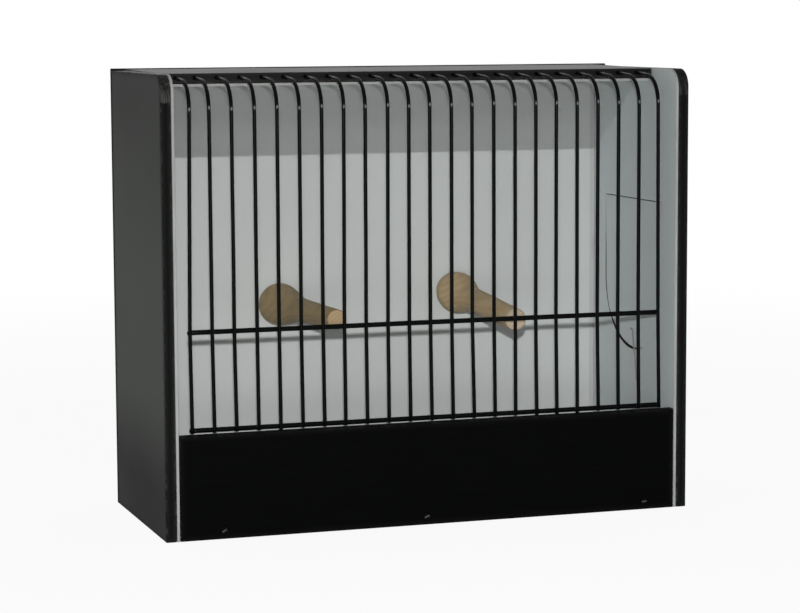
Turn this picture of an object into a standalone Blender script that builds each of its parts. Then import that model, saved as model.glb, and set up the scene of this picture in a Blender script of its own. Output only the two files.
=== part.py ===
"""Bird exhibition cage: black case lined in white, bent wire front, two turned perches, D-shaped end door.

Metres, +Z up, front facing -Y, +X to the right seen from the front. The origin is the centre of the underside.
"""

import math

import bmesh
import bpy
from mathutils import Matrix, Vector

MM = 0.001

# Case
LENGTH = 355.6 * MM
DEPTH = 142.9 * MM
HEIGHT = 293.1 * MM
SIDES_BELOW_BACK = 1.5 * MM
SIDE_THICKNESS = 7.0 * MM
BACK_THICKNESS = 3.8 * MM
BOARD_THICKNESS = 6.35 * MM
FLOOR_THICKNESS = 9.5 * MM
LINING_THICKNESS = 1.6 * MM
FRONT_BOARD_HEIGHT = 66.6 * MM
ROOF_SETBACK = 38.9 * MM
ROOF_FRONT_BELOW_BACK = 1.7 * MM
ROOF_REAR_BELOW_BACK = 0.5 * MM
TOP_CORNER_RADIUS = 12.0 * MM
TOP_CORNER_STEPS = 10
EASED_EDGE = 0.4 * MM
SEAM = 0.3 * MM

# Wire front
WIRE_COUNT = 23
END_WIRE_INSET = 9.51 * MM
WIRE_RADIUS = 1.2 * MM
WIRE_SETBACK = 3.85 * MM
WIRE_BEND_RADIUS = 18.0 * MM
WIRE_BEND_STEPS = 8
WIRE_BEND_BELOW_ROOF = 5.2 * MM
WIRE_RISE = 3.0 * MM
WIRE_IN_ROOF = 7.5 * MM
WIRE_BELOW_LOW_BAR = 1.35 * MM
WIRE_IN_BOARD = 8.0 * MM
FIXING_WIRES = ("wire_05", "wire_19")
LONG_CUT_WIRES = ("wire_17", "wire_18")
SEAT_CLEARANCE = 0.25 * MM
SEAT_DEPTH_SPARE = 0.5 * MM
BAR_RADIUS = 1.6 * MM
BAR_OVERHANG = 0.6 * MM
MID_BAR_HEIGHT = 130.8 * MM
LOW_BAR_ABOVE_BOARD = 2.2 * MM
SEAT_SIDES = 8
FINE_SIDES = 16
# How far each wire strays sideways from its even place, in millimetres: at its foot, at the mid bar and at the roof
WIRE_STRAYS = (
    (0.3, -0.4, 1.2), (0.2, -0.6, -0.9), (0.1, -0.8, -1.1), (0.0, -0.5, -0.8), (0.0, -0.6, -0.7),
    (0.1, -0.6, -0.7), (0.0, -0.7, -0.6), (-0.5, -1.0, -0.5), (-0.4, -1.0, -0.8), (-0.3, -0.8, -0.3),
    (-0.2, -0.9, -0.7), (-0.1, -1.1, -1.2), (-0.1, -1.0, -1.0), (0.0, -1.4, -1.5), (-0.1, -0.9, -1.1),
    (-0.3, -0.7, -0.9), (0.0, -0.9, -1.0), (-0.3, -1.2, -1.2), (-0.3, -0.9, -1.2), (0.1, -1.0, -1.0),
    (-0.1, -0.9, -0.8), (0.1, -0.7, -0.8), (0.2, -0.9, -1.8),
)

# Door in the right end
DOORWAY_WIDTH = 96.0 * MM
DOORWAY_CENTRE_Y = -3.0 * MM
DOORWAY_BOTTOM = 98.0 * MM
DOORWAY_TOP = 202.7 * MM
DOOR_REAR_GAP = 1.6 * MM
DOOR_FRONT_GAP = 0.4 * MM
DOOR_TOP_GAP = 0.7 * MM
DOOR_BOTTOM_GAP = 1.4 * MM
DOOR_ARC_STEPS = 28

# Hinge over the doorway
HINGE_LENGTH = 44.0 * MM
HINGE_LEAF_REACH = 14.0 * MM
HINGE_LEAF_THICKNESS = 0.8 * MM
KNUCKLE_RADIUS = 1.8 * MM
END_KNUCKLE_LENGTH = 12.0 * MM
KNUCKLE_GAP = 0.3 * MM
KNUCKLE_STEPS = 14
PIN_RADIUS = 0.9 * MM
PIN_CLEARANCE = 0.15 * MM
PIN_CAP_RADIUS = 1.4 * MM
PIN_CAP_LENGTH = 0.6 * MM
HINGE_SCREW_SPACING = 28.0 * MM
HINGE_SCREW_REACH = 8.4 * MM

# Screws: a countersunk pair of sizes, and round heads for the hinge and the turn button
SHANK_CLEARANCE = 0.15 * MM
BOARD_SCREW_HEAD_RADIUS = 2.8 * MM
BOARD_SCREW_SHANK_RADIUS = 1.3 * MM
BOARD_SCREW_LENGTH = 21.0 * MM
BOARD_SCREW_HEIGHT = 5.2 * MM
BOARD_SCREW_LEFT_INSET = 37.9 * MM
BOARD_SCREW_MIDDLE_OFFSET = -5.0 * MM
BOARD_SCREW_RIGHT_INSET = 29.8 * MM
BOARD_SCREW_SLOT_TURNS = (25.0, 70.0, 12.0)
PERCH_SCREW_HEAD_RADIUS = 3.2 * MM
PERCH_SCREW_SHANK_RADIUS = 1.5 * MM
PERCH_SCREW_LENGTH = 20.0 * MM
PERCH_SCREW_SLOT_TURN = 40.0
COUNTERSINK_DROP = 0.3 * MM
HINGE_SCREW_HEAD_RADIUS = 1.9 * MM
HINGE_SCREW_SHANK_RADIUS = 1.0 * MM
HINGE_SCREW_LENGTH = 7.0 * MM
HINGE_SCREW_SLOT_TURNS = {"front": 20.0, "rear": 65.0}
BUTTON_SCREW_HEAD_RADIUS = 2.6 * MM
BUTTON_SCREW_SHANK_RADIUS = 1.1 * MM
BUTTON_SCREW_LENGTH = 7.5 * MM
BUTTON_SCREW_SLOT_TURN = 35.0
ROUND_HEAD_RISE = 0.62
SLOT_WIDTH = 0.7 * MM
SLOT_DEPTH = 0.6 * MM

# Turn button under the door, and the door's knob
BUTTON_HEIGHT = 88.0 * MM
BUTTON_LONG_ARM = 19.0 * MM
BUTTON_SHORT_ARM = 6.0 * MM
BUTTON_RADIUS = 3.5 * MM
BUTTON_THICKNESS = 1.6 * MM
BUTTON_HOLE_CLEARANCE = 0.3 * MM
KNOB_ABOVE_DOOR_FOOT = 20.0 * MM
KNOB_HEAD_RADIUS = 5.2 * MM
KNOB_HEAD_DEPTH = 7.4 * MM
KNOB_NECK_RADIUS = 2.6 * MM
KNOB_NECK_LENGTH = 1.7 * MM
KNOB_FOOT_RADIUS = 4.0 * MM
KNOB_FOOT_DEPTH = 1.4 * MM
KNOB_STEM_RADIUS = 1.2 * MM
KNOB_STEM_LENGTH = 5.5 * MM

# Stop wire that keeps the door from swinging inward: (y, z) down its length
STOP_WIRE_RADIUS = 0.5 * MM
STOP_WIRE_LINE = (
    (-1.5 * MM, 112.6 * MM),
    (-4.2 * MM, 111.5 * MM),
    (-6.4 * MM, 101.7 * MM),
    (-9.3 * MM, 91.3 * MM),
    (-11.3 * MM, 77.7 * MM),
)
STOP_WIRE_IN_WALL = 4.2 * MM
STOP_WIRE_CORNER = 1.4 * MM

# Perches: how far the root stands from the nearer end wall, its height, and how the free end leans off the root
PERCH_BEHIND_BAR = 10.35 * MM
PERCH_FLARE_LENGTH = 45.0 * MM
PERCH_LEFT_INSET = 103.1 * MM
PERCH_LEFT_HEIGHT = 131.9 * MM
PERCH_LEFT_LEAN = (6.2 * MM, 1.9 * MM)
PERCH_RIGHT_INSET = 107.5 * MM
PERCH_RIGHT_HEIGHT = 136.4 * MM
PERCH_RIGHT_LEAN = (1.6 * MM, -7.5 * MM)
# The turning of each perch, as (distance from the wall, radius). Past the flare it stretches to the perch's length.
PERCH_LEFT_TURNING = (
    (0.0 * MM, 12.6 * MM), (1.0 * MM, 13.2 * MM), (5.0 * MM, 14.4 * MM), (11.0 * MM, 13.9 * MM),
    (18.0 * MM, 12.7 * MM), (26.0 * MM, 11.3 * MM), (35.0 * MM, 9.7 * MM), (45.0 * MM, 8.3 * MM),
    (60.0 * MM, 7.7 * MM), (75.0 * MM, 7.4 * MM), (95.0 * MM, 6.9 * MM), (117.0 * MM, 6.6 * MM),
    (118.0 * MM, 5.8 * MM),
)
PERCH_RIGHT_TURNING = (
    (0.0 * MM, 11.6 * MM), (1.0 * MM, 12.2 * MM), (5.0 * MM, 13.4 * MM), (11.0 * MM, 14.1 * MM),
    (18.0 * MM, 13.0 * MM), (25.0 * MM, 11.0 * MM), (32.0 * MM, 9.2 * MM), (45.0 * MM, 8.2 * MM),
    (60.0 * MM, 8.1 * MM), (75.0 * MM, 7.9 * MM), (95.0 * MM, 7.3 * MM), (117.0 * MM, 6.9 * MM),
    (118.0 * MM, 6.1 * MM),
)
PERCH_SEGMENTS = 28

# Places that follow from the sizes above
SIDE_X = LENGTH / 2
SIDE_INNER_X = SIDE_X - SIDE_THICKNESS
WALL_X = SIDE_INNER_X - SEAM - LINING_THICKNESS
INNER_X = WALL_X - SEAM
FRONT_Y = -DEPTH / 2
REAR_Y = DEPTH / 2
BACK_PANEL_Y = REAR_Y - BACK_THICKNESS
CARCASS_REAR_Y = BACK_PANEL_Y - SEAM
BACK_WALL_Y = CARCASS_REAR_Y - LINING_THICKNESS
BOARD_REAR_Y = FRONT_Y + BOARD_THICKNESS
ROOF_FRONT_Y = FRONT_Y + ROOF_SETBACK
SIDE_HEIGHT = HEIGHT - SIDES_BELOW_BACK
ROOF_FRONT_Z = HEIGHT - ROOF_FRONT_BELOW_BACK
ROOF_REAR_Z = HEIGHT - ROOF_REAR_BELOW_BACK
ROOF_UNDER_Z = ROOF_FRONT_Z - BOARD_THICKNESS
CEILING_Z = ROOF_UNDER_Z - SEAM - LINING_THICKNESS
FLOOR_Z = FLOOR_THICKNESS + SEAM
WIRE_PITCH = 2 * (WALL_X - END_WIRE_INSET) / (WIRE_COUNT - 1)
WIRE_Y = FRONT_Y + WIRE_SETBACK
WIRE_BEND_Z = ROOF_FRONT_Z - WIRE_BEND_BELOW_ROOF
BAR_Y = WIRE_Y + WIRE_RADIUS + SEAM + BAR_RADIUS
LOW_BAR_Z = FRONT_BOARD_HEIGHT + LOW_BAR_ABOVE_BOARD
PERCH_ROOT_Y = BACK_WALL_Y - SEAM
PERCH_LENGTH = PERCH_ROOT_Y - (BAR_Y + BAR_RADIUS + PERCH_BEHIND_BAR)
OUTER_SEAT_X = SIDE_X + SEAM
HINGE_X = OUTER_SEAT_X + KNUCKLE_RADIUS
HINGE_Z = DOORWAY_TOP - DOOR_TOP_GAP / 2
DOOR_FOOT_Z = DOORWAY_BOTTOM + DOOR_BOTTOM_GAP
DOOR_RADIUS = (DOORWAY_WIDTH - DOOR_FRONT_GAP - DOOR_REAR_GAP) / 2
DOOR_CENTRE_Y = DOORWAY_CENTRE_Y - (DOOR_REAR_GAP - DOOR_FRONT_GAP) / 2

# Colour (linear), roughness and metalness of each finish
BLACK_PAINT = ((0.012, 0.012, 0.012), 0.35, 0.0)
WHITE_LINING = ((0.62, 0.63, 0.61), 0.55, 0.0)
BLACK_WIRE = ((0.010, 0.010, 0.011), 0.30, 0.0)
TURNED_WOOD = ((0.36, 0.25, 0.14), 0.60, 0.0)
BRASS = ((0.72, 0.50, 0.20), 0.32, 1.0)
STEEL = ((0.55, 0.55, 0.55), 0.35, 1.0)

TOWARDS_RIGHT = Matrix.Rotation(math.radians(90), 4, "Y")
TOWARDS_FRONT = Matrix.Rotation(math.radians(90), 4, "X")
TOWARDS_REAR = Matrix.Rotation(math.radians(-90), 4, "X")


def clear_scene():
    """Empties the file of every object."""
    for obj in list(bpy.data.objects):
        bpy.data.objects.remove(obj, do_unlink=True)


def new_collection(name, hidden=False):
    """Links a new collection to the scene and returns it."""
    collection = bpy.data.collections.new(name)
    bpy.context.scene.collection.children.link(collection)
    collection.hide_render = hidden
    return collection


def material(name, finish):
    """Returns a Principled BSDF material of this finish."""
    colour, roughness, metallic = finish
    made = bpy.data.materials.new(name)
    made.use_nodes = True
    shader = made.node_tree.nodes["Principled BSDF"]
    shader.inputs["Base Color"].default_value = (*colour, 1.0)
    shader.inputs["Roughness"].default_value = roughness
    shader.inputs["Metallic"].default_value = metallic
    return made


def add_object(name, data, finish=None):
    """Links an object to the cage when it has a finish, and to the cutters when it has none."""
    obj = bpy.data.objects.new(name, data)
    if finish is None:
        CUTTERS.objects.link(obj)
        obj.hide_render = True
        obj.display_type = "WIRE"
    else:
        CAGE.objects.link(obj)
        data.materials.append(material(name, finish))
    return obj


def mesh_object(name, shape, finish=None):
    """Turns a bmesh into an object whose faces point outward."""
    bmesh.ops.recalc_face_normals(shape, faces=shape.faces)
    mesh = bpy.data.meshes.new(name)
    shape.to_mesh(mesh)
    shape.free()
    return add_object(name, mesh, finish)


def block(name, low, high, finish=None):
    """Makes an axis-aligned box between two corners."""
    shape = bmesh.new()
    bmesh.ops.create_cube(shape, size=1.0)
    size = Vector(high) - Vector(low)
    middle = (Vector(high) + Vector(low)) / 2
    bmesh.ops.transform(shape, matrix=Matrix.Translation(middle) @ Matrix.Diagonal((*size, 1.0)), verts=shape.verts)
    return mesh_object(name, shape, finish)


def prism(name, near_points, far_points, finish=None):
    """Joins two matching closed outlines with flat sides."""
    shape = bmesh.new()
    near = [shape.verts.new(point) for point in near_points]
    far = [shape.verts.new(point) for point in far_points]
    shape.faces.new(near)
    shape.faces.new(far)
    for i in range(len(near)):
        j = (i + 1) % len(near)
        shape.faces.new((near[i], near[j], far[j], far[i]))
    return mesh_object(name, shape, finish)


def end_prism(name, outline, low_x, high_x, finish=None):
    """Extrudes a closed outline of (y, z) points along X."""
    return prism(name, [(low_x, y, z) for y, z in outline], [(high_x, y, z) for y, z in outline], finish)


def rod(name, start, end, radius, sides=FINE_SIDES, finish=None):
    """Makes a straight round rod between two points."""
    along = Vector(end) - Vector(start)
    turn = along.to_track_quat("Z", "Y").to_matrix().to_4x4()
    place = Matrix.Translation((Vector(start) + Vector(end)) / 2) @ turn
    shape = bmesh.new()
    bmesh.ops.create_cone(shape, cap_ends=True, segments=sides, radius1=radius, radius2=radius,
                          depth=along.length, matrix=place)
    return mesh_object(name, shape, finish)


def wire(name, points, radius, finish):
    """Makes a round wire through the points, with flat ends."""
    curve = bpy.data.curves.new(name, "CURVE")
    curve.dimensions = "3D"
    curve.bevel_depth = radius
    curve.bevel_resolution = 2
    curve.use_fill_caps = True
    spline = curve.splines.new("POLY")
    spline.points.add(len(points) - 1)
    for point, place in zip(spline.points, points):
        point.co = (*place, 1.0)
    return add_object(name, curve, finish)


def rounded_corner(before, corner, after, radius, steps):
    """Returns the points of an arc that rounds the corner of a path."""
    corner = Vector(corner)
    into = (Vector(before) - corner).normalized()
    out = (Vector(after) - corner).normalized()
    half = into.angle(out) / 2
    centre = corner + (into + out).normalized() * (radius / math.sin(half))
    start = corner + into * (radius / math.tan(half)) - centre
    end = corner + out * (radius / math.tan(half)) - centre
    return [centre + radius * start.normalized().slerp(end.normalized(), i / steps) for i in range(steps + 1)]


def turned(name, profile, place, segments, finish):
    """Turns a profile of (radius, height), from the top down its outer side, round the local Z axis."""
    mesh = bpy.data.meshes.new(name)
    mesh.from_pydata([(radius, 0.0, height) for radius, height in profile],
                     [(i, i + 1) for i in range(len(profile) - 1)], [])
    obj = add_object(name, mesh, finish)
    screw = obj.modifiers.new("Turning", "SCREW")
    screw.steps = segments
    screw.render_steps = segments
    screw.use_merge_vertices = True
    screw.merge_threshold = 0.00001
    screw.use_smooth_shade = False
    obj.matrix_world = place
    return obj


def settled(obj):
    """Replaces an object with the mesh that its modifiers make of it."""
    graph = bpy.context.evaluated_depsgraph_get()
    mesh = bpy.data.meshes.new_from_object(obj.evaluated_get(graph))
    obj.modifiers.clear()
    obj.data = mesh
    return obj


def ease(obj, width=EASED_EDGE):
    """Takes the sharpness off every square edge."""
    bevel = obj.modifiers.new("Eased edges", "BEVEL")
    bevel.width = width
    bevel.segments = 1
    bevel.limit_method = "ANGLE"
    bevel.angle_limit = math.radians(40)
    return obj


def combine(obj, other, operation):
    """Adds an exact Boolean of this operation to the object."""
    boolean = obj.modifiers.new(other.name, "BOOLEAN")
    boolean.operation = operation
    boolean.solver = "EXACT"
    boolean.object = other


def cut(obj, *cutters):
    """Takes each cutter out of the object."""
    for cutter in cutters:
        combine(obj, cutter, "DIFFERENCE")


def side_outline():
    """Outline of an end panel in (y, z), with its top front corner rounded."""
    centre_y = FRONT_Y + TOP_CORNER_RADIUS
    centre_z = SIDE_HEIGHT - TOP_CORNER_RADIUS
    points = [(FRONT_Y, 0.0), (CARCASS_REAR_Y, 0.0), (CARCASS_REAR_Y, SIDE_HEIGHT)]
    for i in range(TOP_CORNER_STEPS + 1):
        angle = math.pi / 2 * (1 + i / TOP_CORNER_STEPS)
        points.append((centre_y + TOP_CORNER_RADIUS * math.cos(angle), centre_z + TOP_CORNER_RADIUS * math.sin(angle)))
    return points


def roof_outline():
    """Outline of the roof in (y, z): flat underneath, with its top falling to the front."""
    return [(ROOF_FRONT_Y, ROOF_UNDER_Z), (CARCASS_REAR_Y, ROOF_UNDER_Z), (CARCASS_REAR_Y, ROOF_REAR_Z),
            (ROOF_FRONT_Y, ROOF_FRONT_Z)]


def d_outline(centre_y, bottom, top, radius):
    """Outline of the doorway or the door in (y, z): straight top and sides over a half round foot."""
    centre_z = bottom + radius
    points = [(centre_y + radius, top), (centre_y - radius, top)]
    for i in range(DOOR_ARC_STEPS + 1):
        angle = math.pi * (1 + i / DOOR_ARC_STEPS)
        points.append((centre_y + radius * math.cos(angle), centre_z + radius * math.sin(angle)))
    return points


def slot(obj, place, head_radius, turn):
    """Cuts the driver slot across a screw head."""
    half = SLOT_WIDTH / 2
    cutter = block(obj.name + "_slot", (-head_radius * 1.2, -half, -SLOT_DEPTH), (head_radius * 1.2, half, SLOT_DEPTH))
    cutter.matrix_world = place @ Matrix.Rotation(math.radians(turn), 4, "Z")
    cut(obj, cutter)


def countersunk_screw(name, place, head_radius, shank_radius, length, turn, finish, *seats):
    """Makes a countersunk screw whose head face is at the local origin, and cuts its seat from each piece."""
    cone = head_radius - shank_radius
    profile = [(0.0, 0.0), (head_radius, 0.0), (shank_radius, -cone), (shank_radius, -length + shank_radius), (0.0, -length)]
    screw = turned(name, profile, place, FINE_SIDES, finish)
    slot(screw, place, head_radius, turn)
    spare = SHANK_CLEARANCE * 2
    for seat in seats:
        seat_profile = [
            (0.0, COUNTERSINK_DROP * 4),
            (head_radius + spare + COUNTERSINK_DROP * 4, COUNTERSINK_DROP * 4),
            (shank_radius + SHANK_CLEARANCE, -cone - SHANK_CLEARANCE),
            (shank_radius + SHANK_CLEARANCE, -length - SEAT_DEPTH_SPARE),
            (0.0, -length - SEAT_DEPTH_SPARE),
        ]
        cut(seat, turned(f"{name}_seat_in_{seat.name}", seat_profile, place, FINE_SIDES, None))
    return screw


def round_head_screw(name, place, head_radius, shank_radius, length, turn, finish, *seats):
    """Makes a round-headed screw whose head rests on the local XY plane, and bores each piece for its shank."""
    head_height = head_radius * ROUND_HEAD_RISE
    profile = [
        (0.0, head_height),
        (head_radius * 0.5, head_height * 0.88),
        (head_radius * 0.85, head_height * 0.52),
        (head_radius, 0.0),
        (shank_radius, 0.0),
        (shank_radius, -length + shank_radius),
        (0.0, -length),
    ]
    screw = turned(name, profile, place, FINE_SIDES, finish)
    slot(screw, place @ Matrix.Translation((0, 0, head_height)), head_radius, turn)
    for seat in seats:
        bore = rod(f"{name}_bore_in_{seat.name}", (0, 0, SEAM * 4), (0, 0, -length - SEAT_DEPTH_SPARE),
                   shank_radius + SHANK_CLEARANCE)
        bore.matrix_world = place
        cut(seat, bore)
    return screw


def build_case():
    """Makes the black boards of the case and the white linings inside it."""
    outline = side_outline()
    pieces = {
        "side_panel_left": ease(end_prism("side_panel_left", outline, -SIDE_X, -SIDE_INNER_X, BLACK_PAINT)),
        "side_panel_right": ease(end_prism("side_panel_right", outline, SIDE_INNER_X, SIDE_X, BLACK_PAINT)),
        "roof_panel": ease(end_prism("roof_panel", roof_outline(), -INNER_X, INNER_X, BLACK_PAINT)),
        "side_lining_left": end_prism("side_lining_left", outline, -WALL_X - LINING_THICKNESS, -WALL_X, WHITE_LINING),
        "side_lining_right": end_prism("side_lining_right", outline, WALL_X, WALL_X + LINING_THICKNESS, WHITE_LINING),
    }
    lining_front_y = BOARD_REAR_Y + SEAM
    lining_rear_y = BACK_WALL_Y - SEAM
    boards = {
        "back_panel": ((-SIDE_X, BACK_PANEL_Y, 0.0), (SIDE_X, REAR_Y, HEIGHT), BLACK_PAINT),
        "floor_panel": ((-INNER_X, lining_front_y, 0.0), (INNER_X, CARCASS_REAR_Y, FLOOR_THICKNESS), BLACK_PAINT),
        "front_board": ((-INNER_X, FRONT_Y, 0.0), (INNER_X, BOARD_REAR_Y, FRONT_BOARD_HEIGHT), BLACK_PAINT),
        "back_lining": ((-INNER_X, BACK_WALL_Y, FLOOR_Z), (INNER_X, CARCASS_REAR_Y, ROOF_UNDER_Z - SEAM), WHITE_LINING),
        "roof_lining": ((-INNER_X, ROOF_FRONT_Y, CEILING_Z), (INNER_X, lining_rear_y, ROOF_UNDER_Z - SEAM), WHITE_LINING),
        "floor_lining": ((-INNER_X, lining_front_y, FLOOR_Z), (INNER_X, lining_rear_y, FLOOR_Z + LINING_THICKNESS),
                         WHITE_LINING),
    }
    for name, (low, high, finish) in boards.items():
        pieces[name] = block(name, low, high, finish)
        if finish is BLACK_PAINT:
            ease(pieces[name])
    for name in ("side_panel_right", "side_lining_right"):
        outline = d_outline(DOORWAY_CENTRE_Y, DOORWAY_BOTTOM, DOORWAY_TOP, DOORWAY_WIDTH / 2)
        cut(pieces[name], end_prism(f"doorway_in_{name}", outline, WALL_X - SIDE_THICKNESS, SIDE_X + SIDE_THICKNESS))
    return pieces


def build_wire_front(pieces):
    """Makes the 23 bent wires, their seats in the roof and the board, and the two bars behind them."""
    end_y = ROOF_FRONT_Y + WIRE_IN_ROOF
    rise = WIRE_RISE / (end_y - WIRE_Y)
    board_foot_z = FRONT_BOARD_HEIGHT - WIRE_IN_BOARD
    foot_heights = dict.fromkeys([f"wire_{i + 1:02d}" for i in range(WIRE_COUNT)], LOW_BAR_Z - WIRE_BELOW_LOW_BAR)
    foot_heights.update(dict.fromkeys(LONG_CUT_WIRES, FRONT_BOARD_HEIGHT + SEAM))
    foot_heights.update(dict.fromkeys(FIXING_WIRES, board_foot_z))
    for i, ((name, foot_z), strays) in enumerate(zip(foot_heights.items(), WIRE_STRAYS)):
        foot_x, middle_x, top_x = [(i - (WIRE_COUNT - 1) / 2) * WIRE_PITCH + stray * MM for stray in strays]
        foot = (foot_x, WIRE_Y, foot_z)
        middle = (middle_x, WIRE_Y, MID_BAR_HEIGHT)
        corner = (top_x, WIRE_Y, WIRE_BEND_Z)
        end = (top_x, end_y, WIRE_BEND_Z + WIRE_RISE)
        path = [foot, middle, *rounded_corner(middle, corner, end, WIRE_BEND_RADIUS, WIRE_BEND_STEPS), end]
        wire(name, path, WIRE_RADIUS, BLACK_WIRE)
        seat_radius = WIRE_RADIUS + SEAT_CLEARANCE
        seat_end = (top_x, end_y + SEAT_DEPTH_SPARE, WIRE_BEND_Z + WIRE_RISE + SEAT_DEPTH_SPARE * rise)
        cut(pieces["roof_panel"], rod(f"{name}_roof_seat", corner, seat_end, seat_radius, SEAT_SIDES))
        if name in FIXING_WIRES:
            low = (foot_x, WIRE_Y, board_foot_z - SEAT_DEPTH_SPARE)
            high = (foot_x, WIRE_Y, LOW_BAR_Z)
            cut(pieces["front_board"], rod(f"{name}_board_seat", low, high, seat_radius, SEAT_SIDES))
    reach = (WIRE_COUNT - 1) / 2 * WIRE_PITCH + BAR_OVERHANG
    for name, z in (("mid_bar", MID_BAR_HEIGHT), ("bottom_bar", LOW_BAR_Z)):
        wire(name, [(-reach, BAR_Y, z), (reach, BAR_Y, z)], BAR_RADIUS, BLACK_WIRE)


def build_perch(name, root_x, root_z, lean, turning, pieces):
    """Makes a turned perch, whose root stands flat on the back wall, and the screw that holds it from behind."""
    stretch = (PERCH_LENGTH - PERCH_FLARE_LENGTH) / (turning[-1][0] - PERCH_FLARE_LENGTH)
    profile = [(0.0, 0.0)]
    for distance, radius in turning:
        past_flare = max(0.0, distance - PERCH_FLARE_LENGTH)
        profile.append((radius, -(distance - past_flare + past_flare * stretch)))
    profile.append((0.0, -PERCH_LENGTH))
    perch = settled(turned(name, profile, Matrix.Identity(4), PERCH_SEGMENTS, TURNED_WOOD))
    # Local -Z runs out to the free end. The lean is a shear, so the root stays flat on the wall.
    perch.data.transform(Matrix((
        (1.0, 0.0, -lean[0] / PERCH_LENGTH, root_x),
        (0.0, 0.0, 1.0, PERCH_ROOT_Y),
        (0.0, -1.0, -lean[1] / PERCH_LENGTH, root_z),
        (0.0, 0.0, 0.0, 1.0),
    )))
    place = Matrix.Translation((root_x, REAR_Y - COUNTERSINK_DROP, root_z)) @ TOWARDS_REAR
    countersunk_screw(name.replace("perch", "perch_screw"), place, PERCH_SCREW_HEAD_RADIUS, PERCH_SCREW_SHANK_RADIUS,
                      PERCH_SCREW_LENGTH, PERCH_SCREW_SLOT_TURN, STEEL, pieces["back_panel"], pieces["back_lining"], perch)


def build_perches(pieces):
    """Makes both perches."""
    build_perch("perch_left", PERCH_LEFT_INSET - WALL_X, PERCH_LEFT_HEIGHT, PERCH_LEFT_LEAN, PERCH_LEFT_TURNING, pieces)
    build_perch("perch_right", WALL_X - PERCH_RIGHT_INSET, PERCH_RIGHT_HEIGHT, PERCH_RIGHT_LEAN,
                PERCH_RIGHT_TURNING, pieces)


def build_board_screws(pieces):
    """Makes the three countersunk screws that hold the front board to the floor."""
    positions = (BOARD_SCREW_LEFT_INSET - SIDE_X, BOARD_SCREW_MIDDLE_OFFSET, SIDE_X - BOARD_SCREW_RIGHT_INSET)
    for number, (x, turn) in enumerate(zip(positions, BOARD_SCREW_SLOT_TURNS), 1):
        place = Matrix.Translation((x, FRONT_Y + COUNTERSINK_DROP, BOARD_SCREW_HEIGHT)) @ TOWARDS_FRONT
        countersunk_screw(f"front_board_screw_{number}", place, BOARD_SCREW_HEAD_RADIUS, BOARD_SCREW_SHANK_RADIUS,
                          BOARD_SCREW_LENGTH, turn, STEEL, pieces["front_board"], pieces["floor_panel"])


def hinge_leaf(name, sign, gaps):
    """Makes one leaf of the hinge, above the pin (sign 1) or under it (-1), rolled round the pin outside the gaps."""
    ends = [DOORWAY_CENTRE_Y - HINGE_LENGTH / 2, DOORWAY_CENTRE_Y + HINGE_LENGTH / 2]
    outer_x = OUTER_SEAT_X + HINGE_LEAF_THICKNESS
    last = math.degrees(math.acos((HINGE_LEAF_THICKNESS - KNUCKLE_RADIUS) / KNUCKLE_RADIUS))
    outline = [(outer_x, HINGE_LEAF_REACH), (OUTER_SEAT_X, HINGE_LEAF_REACH)]
    for i in range(KNUCKLE_STEPS + 1):
        angle = math.radians(-180 + (180 + last) * i / KNUCKLE_STEPS)
        outline.append((HINGE_X + KNUCKLE_RADIUS * math.cos(angle), KNUCKLE_RADIUS * math.sin(angle)))
    loops = [[(x, y, HINGE_Z + sign * z) for x, z in outline] for y in ends]
    leaf = prism(name, *loops, BRASS)
    notch_z = sorted((HINGE_Z - sign * KNUCKLE_RADIUS * 2, HINGE_Z + sign * (KNUCKLE_RADIUS + KNUCKLE_GAP)))
    for i, (low, high) in enumerate(gaps):
        cut(leaf, block(f"{name}_notch_{i}", (OUTER_SEAT_X - KNUCKLE_RADIUS, DOORWAY_CENTRE_Y + low, notch_z[0]),
                        (HINGE_X + KNUCKLE_RADIUS * 2, DOORWAY_CENTRE_Y + high, notch_z[1])))
    bore = rod(f"{name}_bore", (HINGE_X, ends[0] - KNUCKLE_RADIUS, HINGE_Z), (HINGE_X, ends[1] + KNUCKLE_RADIUS, HINGE_Z),
               PIN_RADIUS + PIN_CLEARANCE)
    cut(leaf, bore)
    return leaf


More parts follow.
